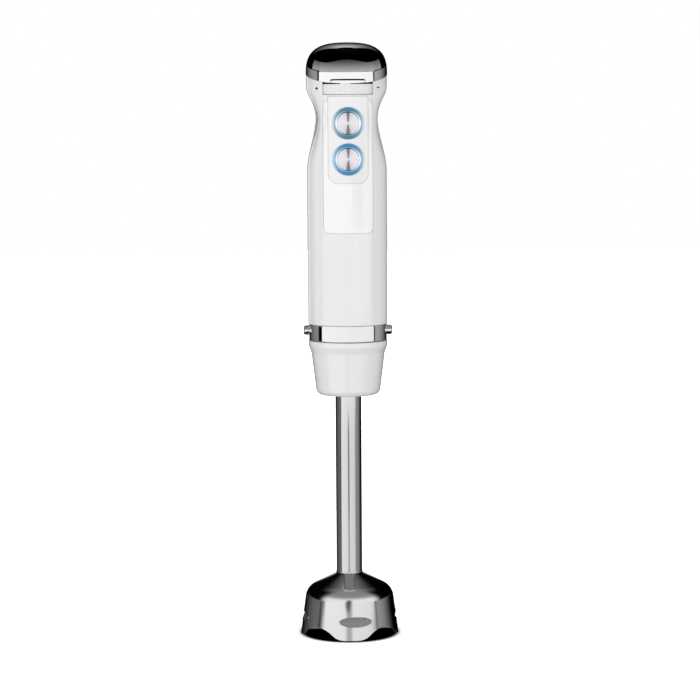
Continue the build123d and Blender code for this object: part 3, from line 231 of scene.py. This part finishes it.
def light_guide(name, height, deep, above, beside):
    """A clear acrylic tube lit from inside by lamps on its left and right. Their light is painted into its
    colour, which also glows: pale there and deeper above and below, with two rings of painted shade where its
    rounded face turns away, one in the middle of the face and a weaker one at the rim."""
    made, tree, shader = finish("lit_acrylic_" + name, 0.0, IOR=1.49, Roughness=0.12)
    flat, reach = from_middle(tree, height)
    across = add(tree, "VectorMath", {"operation": "NORMALIZE"}, links={0: flat})
    side = add(tree, "SeparateXYZ", links={0: across.outputs[0]}).outputs["X"]
    lamps = add(tree, "Math", {"operation": "POWER"}, {1: 2.0}, {0: side}).outputs[0]
    middle = add(tree, "Math", {"operation": "SUBTRACT"}, {1: (LIGHT_R - 1.35) * MM}, {0: reach})
    middle = add(tree, "Math", UNSIGNED, links={0: middle.outputs[0]})
    inner = add(tree, "MapRange", SMOOTH, {"From Min": 1.05 * MM, "From Max": 0.35 * MM},
                {"Value": middle.outputs[0]})
    outer = add(tree, "MapRange", SMOOTH,
                {"From Min": (LIGHT_R - 0.8) * MM, "From Max": (LIGHT_R - 0.15) * MM}, {"Value": reach})
    # Each ring of painted shade is weakest beside the lamps
    rings = []
    for ring, weakest in ((inner, 0.66), (outer, 0.32)):
        weak = add(tree, "MapRange", values={"To Min": 1.0, "To Max": weakest}, links={"Value": lamps})
        rings.append(add(tree, "Math", TIMES, links={0: ring.outputs[0], 1: weak.outputs[0]}))
    dark = add(tree, "Math", LARGER, links={0: rings[0].outputs[0], 1: rings[1].outputs[0]}).outputs[0]
    # Painted light: pale beside the lamps and deeper above and below, darkened in the rings of painted shade
    pale = add(tree, "Mix", COLOUR, {"A": linear(above), "B": linear(beside)}, {"Factor": lamps})
    tone = add(tree, "Mix", COLOUR, {"B": linear(deep)}, {"Factor": dark, "A": pale.outputs["Result"]})
    tree.links.new(tone.outputs["Result"], shader.inputs["Base Color"])
    tree.links.new(tone.outputs["Result"], shader.inputs["Emission Color"])
    # The whole guide glows with its painted colour, most at the inner wall round the button, which shows the
    # lamps' own light
    near, off = (BUTTON_R + 0.32) * MM, (BUTTON_R + 0.45) * MM
    wall = add(tree, "MapRange", values={"From Min": off, "From Max": near, "To Min": 0.15, "To Max": 0.6},
               links={"Value": reach})
    tree.links.new(wall.outputs[0], shader.inputs["Emission Strength"])
    return made


def solder_mask():
    """Green solder mask over copper tracks: two sets of tracks, 2.5 mm apart, show through as a paler green
    relief."""
    made, tree, shader = finish("solder_mask_green", 0.0, IOR=1.5)
    spot = add(tree, "TexCoord").outputs["Object"]
    tracks = {"Scale": wave_scale(2.5), "Distortion": 1.5}
    upright = add(tree, "TexWave", {"bands_direction": "X"}, tracks, {"Vector": spot})
    level = add(tree, "TexWave", {"bands_direction": "Z"}, tracks, {"Vector": spot})
    both = add(tree, "Math", TIMES, links={0: upright.outputs[0], 1: level.outputs[0]})
    relief = add(tree, "MapRange", values={"From Min": 0.2, "From Max": 0.3},
                 links={"Value": both.outputs[0]})
    wear(tree, shader, relief.outputs[0], ("#0B4A2C", "#17693F"), (0.3, 0.22), 0.03)
    return made


CLEAR_COAT = {"Coat Weight": 1.0, "Coat Roughness": 0.06, "Coat IOR": 1.5}
# ABS under clear lacquer: a deep gloss that darkens towards the edges, over a faint orange peel 1.4 mm across
ABS_WHITE = grained("lacquered_abs_white", ("#ECECEC", "#EAEAEA"), (0.24, 0.30), 1.4, 0.001,
                    IOR=1.54, **CLEAR_COAT)
# Acrylic cover from a polished mould: whiter and glossier, with slow waves 6 mm across
ACRYLIC_WHITE = grained("polished_acrylic_white", ("#F9F9F9", "#F6F6F7"), (0.05, 0.09), 6.0, 0.001,
                        IOR=1.49, **CLEAR_COAT)
# ABS plate under the buttons: nearly the shell's white, with a finer grain, 1.2 mm
PLATE_WHITE = grained("lacquered_abs_plate", ("#F0F0F0", "#EEEEEF"), (0.15, 0.20), 1.2, 0.001,
                      IOR=1.54, **CLEAR_COAT)
# Chrome plated on ABS: a mirror that handling has clouded a little, in patches 9 mm across
CHROME = grained("chrome_on_abs", ("#F6F6F7", "#F0F0F2"), (0.008, 0.018), 9.0, 0.0005, metallic=1.0)
# Stainless tube drawn through a die: lines along it, 0.5 mm wide and 30 mm long, drawn coarser than real ones
DRAWN_TUBE = grained("drawn_stainless_tube", ("#E7E7E8", "#DBDBDD"), (0.08, 0.15), 0.5, 0.002,
                     (1, 1, 60), 1.0)
# Ground stainless steel: short lines round the axis, 0.3 mm wide
GROUND_STEEL = grained("ground_stainless", ("#C9C9CB", "#AEAEB2"), (0.18, 0.32), 0.3, 0.003, (8, 8, 1), 1.0)
# Bright zinc plate: a fine cloudy crystal, 0.6 mm
ZINC_PLATE = grained("zinc_plated_screw", ("#C4C5C2", "#9FA2A4"), (0.25, 0.42), 0.6, 0.004, metallic=1.0)
# Spring wire: drawn, tempered and oiled, with grey streaks 0.4 mm across
SPRING_WIRE = grained("tempered_spring_wire", ("#8E8C8A", "#6B6968"), (0.25, 0.4), 0.4, 0.003, metallic=1.0)
# Electrical steel: stamped sheets stacked and varnished; real sheets are 0.5 mm, drawn at 1 mm to show
SHEET_STACK = banded("stacked_electrical_steel", ("#5B5C60", "#3C3D41"), (0.4, 0.6), 1.0, 0.05, metallic=0.9)
# Enamelled copper wire laid in turns 0.6 mm apart, under amber varnish
COPPER_WIRE = banded("enamelled_copper_wire", ("#C47A3E", "#8A4A20"), (0.25, 0.4), 0.6, 0.12, metallic=0.9)
# Turned copper bars, brightened by the brushes in rings 0.4 mm apart
COPPER_BARS = banded("turned_copper_bar", ("#CF8A58", "#B06B3E"), (0.22, 0.35), 0.4, 0.01, metallic=1.0)
# Sintered bronze: open pores 0.25 mm across
SINTERED_BRONZE = grained("sintered_bronze", ("#B68D4F", "#86642F"), (0.35, 0.55), 0.25, 0.02, metallic=1.0)
# Glass-filled nylon: dark, with a dry grain 0.5 mm across
BLACK_NYLON = grained("glass_filled_nylon", ("#2A2A2C", "#1B1B1D"), (0.42, 0.6), 0.5, 0.02, IOR=1.53)
# Acetal: ivory white and waxy
ACETAL = grained("moulded_acetal", ("#DEDDD6", "#D2D1C9"), (0.28, 0.38), 0.8, 0.004, IOR=1.48)
# Pressed carbon: matt, with graphite flecks 0.3 mm across
CARBON = grained("pressed_carbon", ("#2B2B2D", "#141415"), (0.55, 0.75), 0.3, 0.02)
# Nitrile rubber from a spark-eroded mould: matt, 0.4 mm grain
RUBBER = grained("moulded_nitrile_rubber", ("#2C2C2E", "#1F1F21"), (0.55, 0.75), 0.4, 0.015, IOR=1.52)
# Ink printed on the shell, slightly uneven
PRINT_GREY = grained("printed_grey_ink", ("#3A3A3C", "#48484A"), (0.4, 0.5), 0.3, 0.002)
BELL_STEEL = polished_bell()

BY_SLOT = {"white_shell": ABS_WHITE, "white_panel": ACRYLIC_WHITE, "chrome": CHROME, "steel_tube": DRAWN_TUBE,
           "steel_bell": BELL_STEEL, "steel": GROUND_STEEL, "zinc_steel": ZINC_PLATE,
           "spring_steel": SPRING_WIRE, "iron": SHEET_STACK, "copper": COPPER_WIRE, "bronze": SINTERED_BRONZE,
           "dark_plastic": BLACK_NYLON, "pale_plastic": ACETAL, "circuit_board": solder_mask(),
           "carbon": CARBON, "rubber": RUBBER}
BY_NODE = {"button_plate": PLATE_WHITE, "commutator": COPPER_BARS,
           "upper_light_ring": light_guide("upper", BUTTON_Z["upper"], "#3A748C", "#52818F", "#E2F0F8"),
           "lower_light_ring": light_guide("lower", BUTTON_Z["lower"], "#2C75A3", "#4F91BA", "#DCECFA")}
for place, height in BUTTON_Z.items():
    BY_NODE[place + "_button_cap"] = spun_button(place, height)
for part in frame["record"]["subparts"]:
    slots = NODES[part["node"]].data.materials
    slots.clear()
    slots.append(BY_NODE.get(part["node"]) or BY_SLOT[part["material_slot"]])


def grid_piece(name, points, made, body=None, wrap_u=False, wrap_v=False):
    """A mesh of quads over a grid of points of shape (rows, columns, 3), closed on itself along rows or
    columns, with one material. It rides a body, if it has one."""
    rows, cols = points.shape[:2]
    r = np.arange(rows if wrap_u else rows - 1)
    c = np.arange(cols if wrap_v else cols - 1)
    r, c = (index.ravel() for index in np.meshgrid(r, c, indexing="ij"))
    r1, c1 = (r + 1) % rows, (c + 1) % cols
    quads = np.stack([r * cols + c, r * cols + c1, r1 * cols + c1, r1 * cols + c], 1)
    mesh = bpy.data.meshes.new(name)
    mesh.from_pydata(points.reshape(-1, 3).tolist(), [], quads.tolist())
    mesh.shade_smooth()
    mesh.materials.append(made)
    obj = bpy.data.objects.new(name, mesh)
    bpy.context.scene.collection.objects.link(obj)
    if body:
        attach(obj, body)
    return obj


def power(values, exponent):
    """Sign-keeping power, for superellipses."""
    return np.sign(values) * np.abs(values) ** exponent


def circle(count):
    """Angles evenly round a circle, the last one a step short of the first."""
    return np.linspace(0, 2 * np.pi, count, endpoint=False)


def round_axis(turn, reach, z):
    """Points at an azimuth, which is 0 in front and grows towards +X, a reach from the axis and a height."""
    return np.stack([reach * np.sin(turn), -reach * np.cos(turn), np.broadcast_to(z, turn.shape)], 2)


def printed_bar(name, azimuth, height, length, width):
    """A stroke printed on the head: a flat superellipsoid, half sunk in the shell. Latitude v and longitude u
    give s = a cos(v)^p cos(u)^p along the shell, h = b cos(v)^p sin(u)^p up it and n = c sin(v)^p out of it;
    s is then wrapped round the head's circle."""
    p, middle, half_thick = 0.35, 0.04, 0.12
    v, u = np.meshgrid(np.linspace(-np.pi / 2, np.pi / 2, 17), circle(32), indexing="ij")
    ring = power(np.cos(v), p)
    s = length / 2 * ring * power(np.cos(u), p)
    h = width / 2 * ring * power(np.sin(u), p)
    turn = math.radians(azimuth) + s / HEAD_R
    reach = HEAD_R + middle + half_thick * power(np.sin(v), p)
    points = round_axis(turn, reach, height + h)
    grid_piece(name, points * MM, PRINT_GREY, "motor_body", wrap_v=True)


def rolled_lip(name, turn):
    """The rolled edge of one vent: a round wire carried along the vent's edge. The edge is the ellipse
    s = a cos(t), z = z0 + b sin(t), laid on the cone r = R - k z. The wire's section is a circle in the plane
    of the cone's normal and the ellipse's own outward direction."""
    wire, sunk = 0.32, 0.1
    t, w = np.meshgrid(circle(96), circle(12), indexing="ij")
    outward = np.stack([VENT_HALF_H * np.cos(t), VENT_HALF_W * np.sin(t)], 2)
    outward /= np.linalg.norm(outward, axis=2, keepdims=True)
    s = VENT_HALF_W * np.cos(t) + wire * np.cos(w) * outward[..., 0]
    z = VENT_Z + VENT_HALF_H * np.sin(t) + wire * np.cos(w) * outward[..., 1]
    reach = BELL_RIM_R - BELL_SLOPE * z - sunk + wire * np.sin(w)
    y = -np.sqrt(reach**2 - s**2)
    a = math.radians(turn)
    points = np.stack([s * math.cos(a) - y * math.sin(a), s * math.sin(a) + y * math.cos(a), z], 2)
    grid_piece(name, points * MM, BELL_STEEL, "blending_arm", wrap_u=True, wrap_v=True)


def weld_bead():
    """The bead round the foot of the tube: an ellipse carried round the tube, with ripples in how far it
    stands out."""
    half_h, out, ripple, ripples = 0.9, 0.16, 0.04, 48
    turn, w = np.meshgrid(circle(288), circle(16), indexing="ij")
    reach = TUBE_R + (out + ripple * np.cos(ripples * turn)) * np.cos(w)
    z = BELL_H - half_h + half_h * np.sin(w)
    points = np.stack([reach * np.cos(turn), reach * np.sin(turn), z], 2)
    grid_piece("weld_bead", points * MM, BELL_STEEL, "blending_arm", wrap_u=True, wrap_v=True)


def bent_wire(name, path, radius, axis):
    """A round spring wire along a path of points that goes round an axis. At each point the section is a
    circle between the direction away from the axis and the one square to it; at both ends it closes to a
    point."""
    along = np.gradient(path, axis=0)
    along /= np.linalg.norm(along, axis=1, keepdims=True)
    side = np.cross(along, axis)
    side /= np.linalg.norm(side, axis=1, keepdims=True)
    rows = np.r_[0, np.arange(len(path)), len(path) - 1]
    size = np.full(len(rows), radius)
    size[[0, -1]] = 0
    w = circle(10)[None, :, None]
    section = np.cos(w) * side[rows, None] + np.sin(w) * np.cross(along, side)[rows, None]
    points = path[rows, None] + size[:, None, None] * section
    return grid_piece(name, points, SPRING_WIRE, wrap_v=True)


def button_coil(button):
    """The coil behind a button: a helix in the box of the CAD spring, which it hides."""
    wire, turns = 0.35 * MM, 4
    node = button + "_spring"
    low, high = (np.array(corner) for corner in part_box(node))
    middle, reach = (low + high) / 2, (high - low)[0] / 2 - wire
    t = np.linspace(0, 1, 193)
    turn = 2 * np.pi * turns * t
    level = low[1] + wire + (high - low - 2 * wire)[1] * t
    path = np.stack([middle[0] + reach * np.cos(turn), level, middle[2] + reach * np.sin(turn)], 1)
    coil = bent_wire(button + "_coil", path, wire, (0, 1, 0))
    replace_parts(coil, node)
    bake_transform(coil)


def latch_half(side):
    """One half of the latch, an oval of wire in the box of the CAD ring: x = a cos(t), y = b sin(t)."""
    low, high = (np.array(corner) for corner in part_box("latch_ring"))
    wire = (high - low)[2] / 2
    a, b = (high - low)[:2] / 2 - wire
    sign = 1 if side == "right" else -1
    t = np.linspace(-np.pi / 2, np.pi / 2, 97)
    path = np.stack([sign * a * np.cos(t), b * np.sin(t), np.full_like(t, (low + high)[2] / 2)], 1)
    half = bent_wire("latch_" + side + "_half", path, wire, (0, 0, 1))
    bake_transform(half)
    return half


# The studio


def aimed(place, aim):
    """The placement of a camera or lamp that stands at place and looks at aim."""
    place, aim = Vector(place), Vector(aim)
    return Matrix.Translation(place) @ (aim - place).to_track_quat("-Z", "Y").to_matrix().to_4x4()


def make_camera():
    """The photograph's view, from slightly to the left and above."""
    azimuth, distance, height, roll = math.radians(-2.0), 2.0, 0.3917, math.radians(-0.35)
    aim = Vector((0.0013, 0.0, 0.1936))
    eye = Vector((distance * math.sin(azimuth), -distance * math.cos(azimuth), height))
    data = bpy.data.cameras.new("camera")
    data.sensor_width = 36.0
    data.lens = data.sensor_width * (aim - eye).length / (FRAME_PX * PX_MM * MM)
    data.clip_start, data.clip_end = 0.01, 50
    camera = bpy.data.objects.new("camera", data)
    camera.matrix_world = aimed(eye, aim) @ Matrix.Rotation(roll, 4, "Z")
    bpy.context.scene.collection.objects.link(camera)
    bpy.context.scene.camera = camera


def make_world(level):
    """A white room: level is the light that it throws on the object; what looks straight at it, or mirrors
    it, sees plain white."""
    world = bpy.data.worlds.new("white_room")
    tree = empty_tree(world)
    rays = add(tree, "LightPath").outputs
    seen = add(tree, "Math", LARGER, links={0: rays["Is Camera Ray"], 1: rays["Is Glossy Ray"]})
    seen = add(tree, "Math", LARGER, links={0: seen.outputs[0], 1: rays["Is Transmission Ray"]})
    strength = add(tree, "MapRange", values={"To Min": level, "To Max": 1.0},
                   links={"Value": seen.outputs[0]})
    back = add(tree, "Background", values={"Color": (1, 1, 1, 1)}, links={"Strength": strength.outputs[0]})
    add(tree, "OutputWorld", links={"Surface": back.outputs[0]})
    bpy.context.scene.world = world


def lamp(name, place, aim, size, watts):
    """A round soft lamp that lights the surfaces but isn't mirrored by them."""
    data = bpy.data.lights.new(name, "AREA")
    data.shape, data.size, data.energy = "DISK", size, watts
    obj = bpy.data.objects.new(name, data)
    obj.matrix_world = aimed(place, aim)
    obj.visible_glossy = obj.visible_camera = False
    bpy.context.scene.collection.objects.link(obj)


def mirrored_card(name, points, glow, cover=1.0):
    """A card that only reflections see, a grid of points with its own light at each point. Cover says how
    much it hides of what stands behind it; from its back it hides nothing."""
    made = bpy.data.materials.new(name)
    tree = empty_tree(made)
    level, hides = (add(tree, "Attribute", {"attribute_name": k}).outputs["Fac"] for k in ("glow", "cover"))
    back = add(tree, "NewGeometry").outputs["Backfacing"]
    hides = add(tree, "MapRange", values={"To Max": 0.0}, links={"Value": back, "To Min": hides})
    light = add(tree, "Emission", links={"Strength": level})
    clear = add(tree, "BsdfTransparent")
    both = add(tree, "MixShader", links={0: hides.outputs[0], 1: clear.outputs[0], 2: light.outputs[0]})
    add(tree, "OutputMaterial", links={"Surface": both.outputs[0]})
    obj = grid_piece(name, points, made)
    glow, cover = np.broadcast_arrays(np.float32(glow), np.float32(cover), np.float32(points[..., 0]))[:2]
    for key, values in (("glow", glow), ("cover", cover)):
        obj.data.attributes.new(key, "FLOAT", "POINT").data.foreach_set("value", values.ravel())
    obj.visible_camera = obj.visible_diffuse = obj.visible_shadow = False


def ramp(values, start, end):
    """0 before start, 1 after end, and a smooth step between; start may be the larger."""
    t = np.clip((values - start) / (end - start), 0, 1)
    return t * t * (3 - 2 * t)


def soft_boxes(a, front, levels, sides):
    """One level row of the wall at the azimuths a. A front box comes up from start to full and goes down from
    fall to end, and its light goes evenly between two levels. Beside it stand the side boxes, each (edge, far
    end, level), brightest at the edge and fading towards the far end."""
    start, full, fall, end = front
    side_full, side_fall = 5, 8
    light = np.interp(a, (full, fall), levels) * ramp(a, start, full) * ramp(a, end, fall)
    for edge, far, level in sides:
        beyond, span = (a - edge) * np.sign(edge), abs(far - edge)
        light = light + level * ramp(beyond, 0, side_full) * ramp(beyond, span, side_fall)
    return light


def make_wall():
    """The round wall that the metal and the lacquer mirror, by azimuth a in degrees and height z. Level rows
    of soft boxes serve the tube, the bell, the ring, the body and the foot of the cap. Above a sill, which
    sinks to both sides, a grey glow fades upwards to a crest; behind stands a grey wall."""
    wall_r, sill_z, sill_sink, sill_end, bend_h = 0.9, 0.47, 4.6e-6, 84, 0.05
    # Rows of points, from the top down, each span as (first, end, step), and finest about the sill
    spans = ((3.2, 1.0, -0.05), (1.0, 0.5, -0.01), (0.5, 0.48, -0.004), (0.48, 0.46, -0.0006),
             (0.46, 0.4, -0.004), (0.4, -0.2, -0.01), (-0.2, -1.01, -0.05))
    levels = np.concatenate([np.arange(*span) for span in spans])
    a, z = np.meshgrid(np.linspace(-180, 180, 433), levels, indexing="xy")
    away = np.abs(a)
    sill = sill_z - sill_sink * np.minimum(away, sill_end) ** 2
    z = z + (sill - sill_z) * np.exp(-(((z - sill_z) / bend_h) ** 2))

    tube = soft_boxes(a, (-80, -66, 47, 73), (0.97, 0.80), ((-80, -160, 0.16), (66, 128, 0.33)))
    bell = soft_boxes(a, (-70, -65.5, 62, 68), (1.07, 0.93), ((-72, -157, 0.17), (67, 135, 0.31)))
    ring = soft_boxes(a, (-85.5, -83, 79, 81), (0.98, 0.90), ((-96, -165, 0.24), (82, 155, 0.37)))
    body = soft_boxes(a, (-81, -77, 70, 77), (1.06, 0.97), ((-83, -200, 0.55), (79, 200, 0.52)))
    cap = soft_boxes(a, (-86, -83.6, 77, 79), (1.07, 1.00), ((-89, -165, 0.31), (80, 150, 0.38)))
    # The body's front box is dimmed on its right, for the edge that the panel mirrors, and raised below that
    dimmed = ramp(a, 10, 14) * ramp(a, 48, 40) * ramp(z, 0.219, 0.226) * ramp(z, 0.285, 0.275)
    raised = ramp(a, 5, 20) * ramp(a, 70, 60) * ramp(z, 0.140, 0.150) * ramp(z, 0.226, 0.219)
    body = body - 0.75 * dimmed + 0.60 * raised
    # The rows from the tube's upwards, each with the heights between which it takes over from the one below
    glow = tube
    above = ((bell, 0.040, 0.045), (ring, 0.100, 0.113), (body, 0.133, 0.140), (cap, 0.366, 0.372))
    for row, foot, top in above:
        glow = glow + (row - glow) * ramp(z, foot, top)

    # The glow above the sill, weaker at the sides and dark there in one band, and the wall behind
    fade_glow, fade_h = 0.46, 0.215
    rise, side = z - sill, ramp(away, 80, 86)
    fade = fade_glow * np.exp(-rise / fade_h) * ramp(rise, -0.004, 0.008)
    fade = fade * (1 - 0.17 * side) * (1 - side * ramp(np.abs(z - 0.434), 0.022, 0.010))
    crest = 0.72 + 0.29 * ramp(away, 68, 0)
    fade = fade * ramp(z, crest, crest - 0.02) * ramp(away, 116, 110)
    behind = (0.10 + 0.40 * ramp(z, 0.8, 1.9)) * (0.58 + 0.42 * ramp(away, 150, 170)) * ramp(away, 141, 150)
    behind = behind * ramp(z, 0.70, 0.95) * ramp(z, 2.7, 2.4)
    glow = glow + (fade - glow) * ramp(rise, -0.0006, 0.0006) + behind
    mirrored_card("studio_wall", round_axis(np.radians(a), wall_r, z), glow * ramp(z, -0.62, -0.50))


def make_cards():
    """The rest of what the metal mirrors: a level canopy with a brim below it, for the cone and the shoulder
    of the bell; a half-clear stand and a small flag, for the dark streak down the arm; strips behind,
    narrower than the metal, which only its back mirrors; and a dark sphere round it all."""
    canopy_z, brim_z, hole_r, brim_r, edge_r = 0.26, 0.105, 0.03, 0.28, 0.88
    a, reach = np.meshgrid(np.linspace(-180, 180, 181), np.linspace(hole_r, edge_r, 86), indexing="xy")
    turn, ahead = np.radians(a), ramp(np.abs(a), 88, 58)
    front = 0.28 + 0.67 * ramp(reach, 0.19, 0.66)
    back = 0.29 * np.clip((0.24 - reach) / 0.18, 0, 0.92) ** 2
    mirrored_card("canopy", round_axis(turn, reach, canopy_z), back + (front - back) * ahead)
    brim = np.interp(reach, (hole_r, edge_r), (brim_r, edge_r))
    mirrored_card("canopy_brim", round_axis(turn, brim, brim_z), ahead)

    stand_y, flag_y, black, strip_glow = -0.25, -0.062, 0.01, 0.85
    x, z = np.meshgrid(np.linspace(-0.07, 0.045, 47), np.linspace(0.15, -0.06, 43), indexing="xy")
    cover = (0.5 + 0.28 * ramp(z, 0.036, 0.046)) * ramp(np.abs(x + 0.013), 0.045, 0.010)
    cover = cover * ramp(z, 0.125, 0.11)
    mirrored_card("dark_stand", np.stack([x, np.full_like(x, stand_y), z], 2), black, cover)
    x, z = np.meshgrid(np.linspace(-0.014, 0.005, 39), np.linspace(0.040, 0.018, 45), indexing="xy")
    cover = 0.68 * ramp(np.hypot((x + 0.0055) / 0.0085, (z - 0.028) / 0.0088), 1.0, 0.45)
    mirrored_card("dark_flag", np.stack([x, np.full_like(x, flag_y), z], 2), black, cover)

    # Each strip's distance behind the axis, half width, top and foot
    strips = {"tube": (0.020, 0.0088, 0.160, 0.020), "bell": (0.060, 0.031, 0.075, 0.0),
              "ring": (0.055, 0.025, 0.205, 0.165), "cap": (0.060, 0.026, 0.388, 0.345)}
    for part, (y, half, top, foot) in strips.items():
        x, z = np.meshgrid(np.linspace(half, -half, 33), np.linspace(top, foot, 9), indexing="xy")
        cover = ramp(np.abs(x), half, 0.6 * half)
        mirrored_card("back_strip_" + part, np.stack([x, np.full_like(x, y), z], 2), strip_glow, cover)

    room_r, room_glow = 4.0, 0.002
    rise, turn = np.linspace(np.pi / 2, -np.pi / 2, 25), np.linspace(0, 2 * np.pi, 48)
    rise, turn = np.meshgrid(rise, turn, indexing="ij")
    room = np.stack([np.cos(rise) * np.cos(turn), np.cos(rise) * np.sin(turn), np.sin(rise)], 2)
    mirrored_card("dark_room", room_r * room, room_glow)


def make_floor():
    """A white sweep. What looks straight at it sees it glow, up to plain white away from the object, and sees
    a painted shadow of the bell: a dark oval that reaches further behind the bell than in front, and is
    painted grey rather than black on its far side. Every other ray sees white paper."""
    painted_shadow_in, painted_shadow_out = 0.0310, 0.0365
    made = bpy.data.materials.new("white_paper_sweep")
    tree = empty_tree(made)
    spot = add(tree, "TexCoord").outputs["Object"]
    place = add(tree, "SeparateXYZ", links={0: spot}).outputs
    # The painted shadow is an oval: a circle whose depth is measured at 0.86 of its size in front and at 0.58
    # behind
    fore, aft = (add(tree, "Math", TIMES, {1: k}, {0: place["Y"]}).outputs[0] for k in (-0.86, 0.58))
    depth = add(tree, "Math", LARGER, links={0: fore, 1: aft})
    oval = add(tree, "CombineXYZ", links={"X": place["X"], "Y": depth.outputs[0]})
    reach = add(tree, "VectorMath", LENGTH, links={0: oval.outputs[0]}).outputs["Value"]
    clear = add(tree, "MapRange", SMOOTH, {"From Min": painted_shadow_in, "From Max": painted_shadow_out}, {"Value": reach})
    far = add(tree, "MapRange", SMOOTH, {"From Min": 0.03, "From Max": 0.20, "To Min": 0.45, "To Max": 1.0},
              {"Value": reach})
    rays = add(tree, "LightPath").outputs["Is Camera Ray"]
    glow = add(tree, "Math", TIMES, links={0: far.outputs[0], 1: rays})
    glow = add(tree, "Math", TIMES, links={0: glow.outputs[0], 1: clear.outputs[0]})
    # Painted glow: grey rather than black inside the far side of the painted shadow
    under = add(tree, "MapRange", SMOOTH, {"From Min": painted_shadow_out, "From Max": painted_shadow_in, "To Max": 0.23},
                {"Value": reach})
    deep = add(tree, "MapRange", values={"From Min": 0.010, "From Max": 0.018}, links={"Value": place["Y"]})
    under = add(tree, "Math", TIMES, links={0: under.outputs[0], 1: deep.outputs[0]})
    glow = add(tree, "Math", {"operation": "MULTIPLY_ADD"},
               links={0: under.outputs[0], 1: rays, 2: glow.outputs[0]})
    # Straight looks see the paper painted black inside the painted shadow
    lit = add(tree, "MapRange", values={"To Min": 1.0}, links={"Value": rays, "To Max": clear.outputs[0]})
    shade = add(tree, "Mix", COLOUR, {"A": linear("#000000"), "B": linear("#F6F6F6")},
                {"Factor": lit.outputs[0]})
    paper = add(tree, "BsdfDiffuse", links={"Color": shade.outputs["Result"]})
    light = add(tree, "Emission", links={"Strength": glow.outputs[0]})
    both = add(tree, "AddShader", links={0: paper.outputs[0], 1: light.outputs[0]})
    add(tree, "OutputMaterial", links={"Surface": both.outputs[0]})
    x, y = np.meshgrid(np.linspace(-4, 4, 9), np.linspace(-4, 4, 9), indexing="xy")
    floor = grid_piece("floor", np.stack([x, y, np.zeros_like(x)], 2), made)
    floor.visible_glossy = False
    # The arm stands on the floor: where the two come apart, the body is what is lifted
    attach(floor, "blending_arm")


bpy.context.scene.view_settings.view_transform = "Standard"
make_camera()
make_world(level=0.84)
lamp("key", place=(-0.7, -1.6, 1.0), aim=(0, 0, 0.2), size=1.2, watts=6)
make_wall()
make_cards()
make_floor()

printed_bar("plus_mark_level", -MARK_TURN, height=370.6, length=3.0, width=0.8)
printed_bar("plus_mark_upright", -MARK_TURN, height=370.6, length=0.8, width=2.3)
printed_bar("minus_mark", MARK_TURN, height=371.0, length=3.0, width=0.8)
for k in range(VENTS):
    rolled_lip("vent_lip_%d" % (k + 1), VENT_TURN + 360 / VENTS * k)
weld_bead()
for button in ("upper_button", "lower_button"):
    button_coil(button)
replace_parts(latch_half("left"), "latch_ring")
latch_half("right")
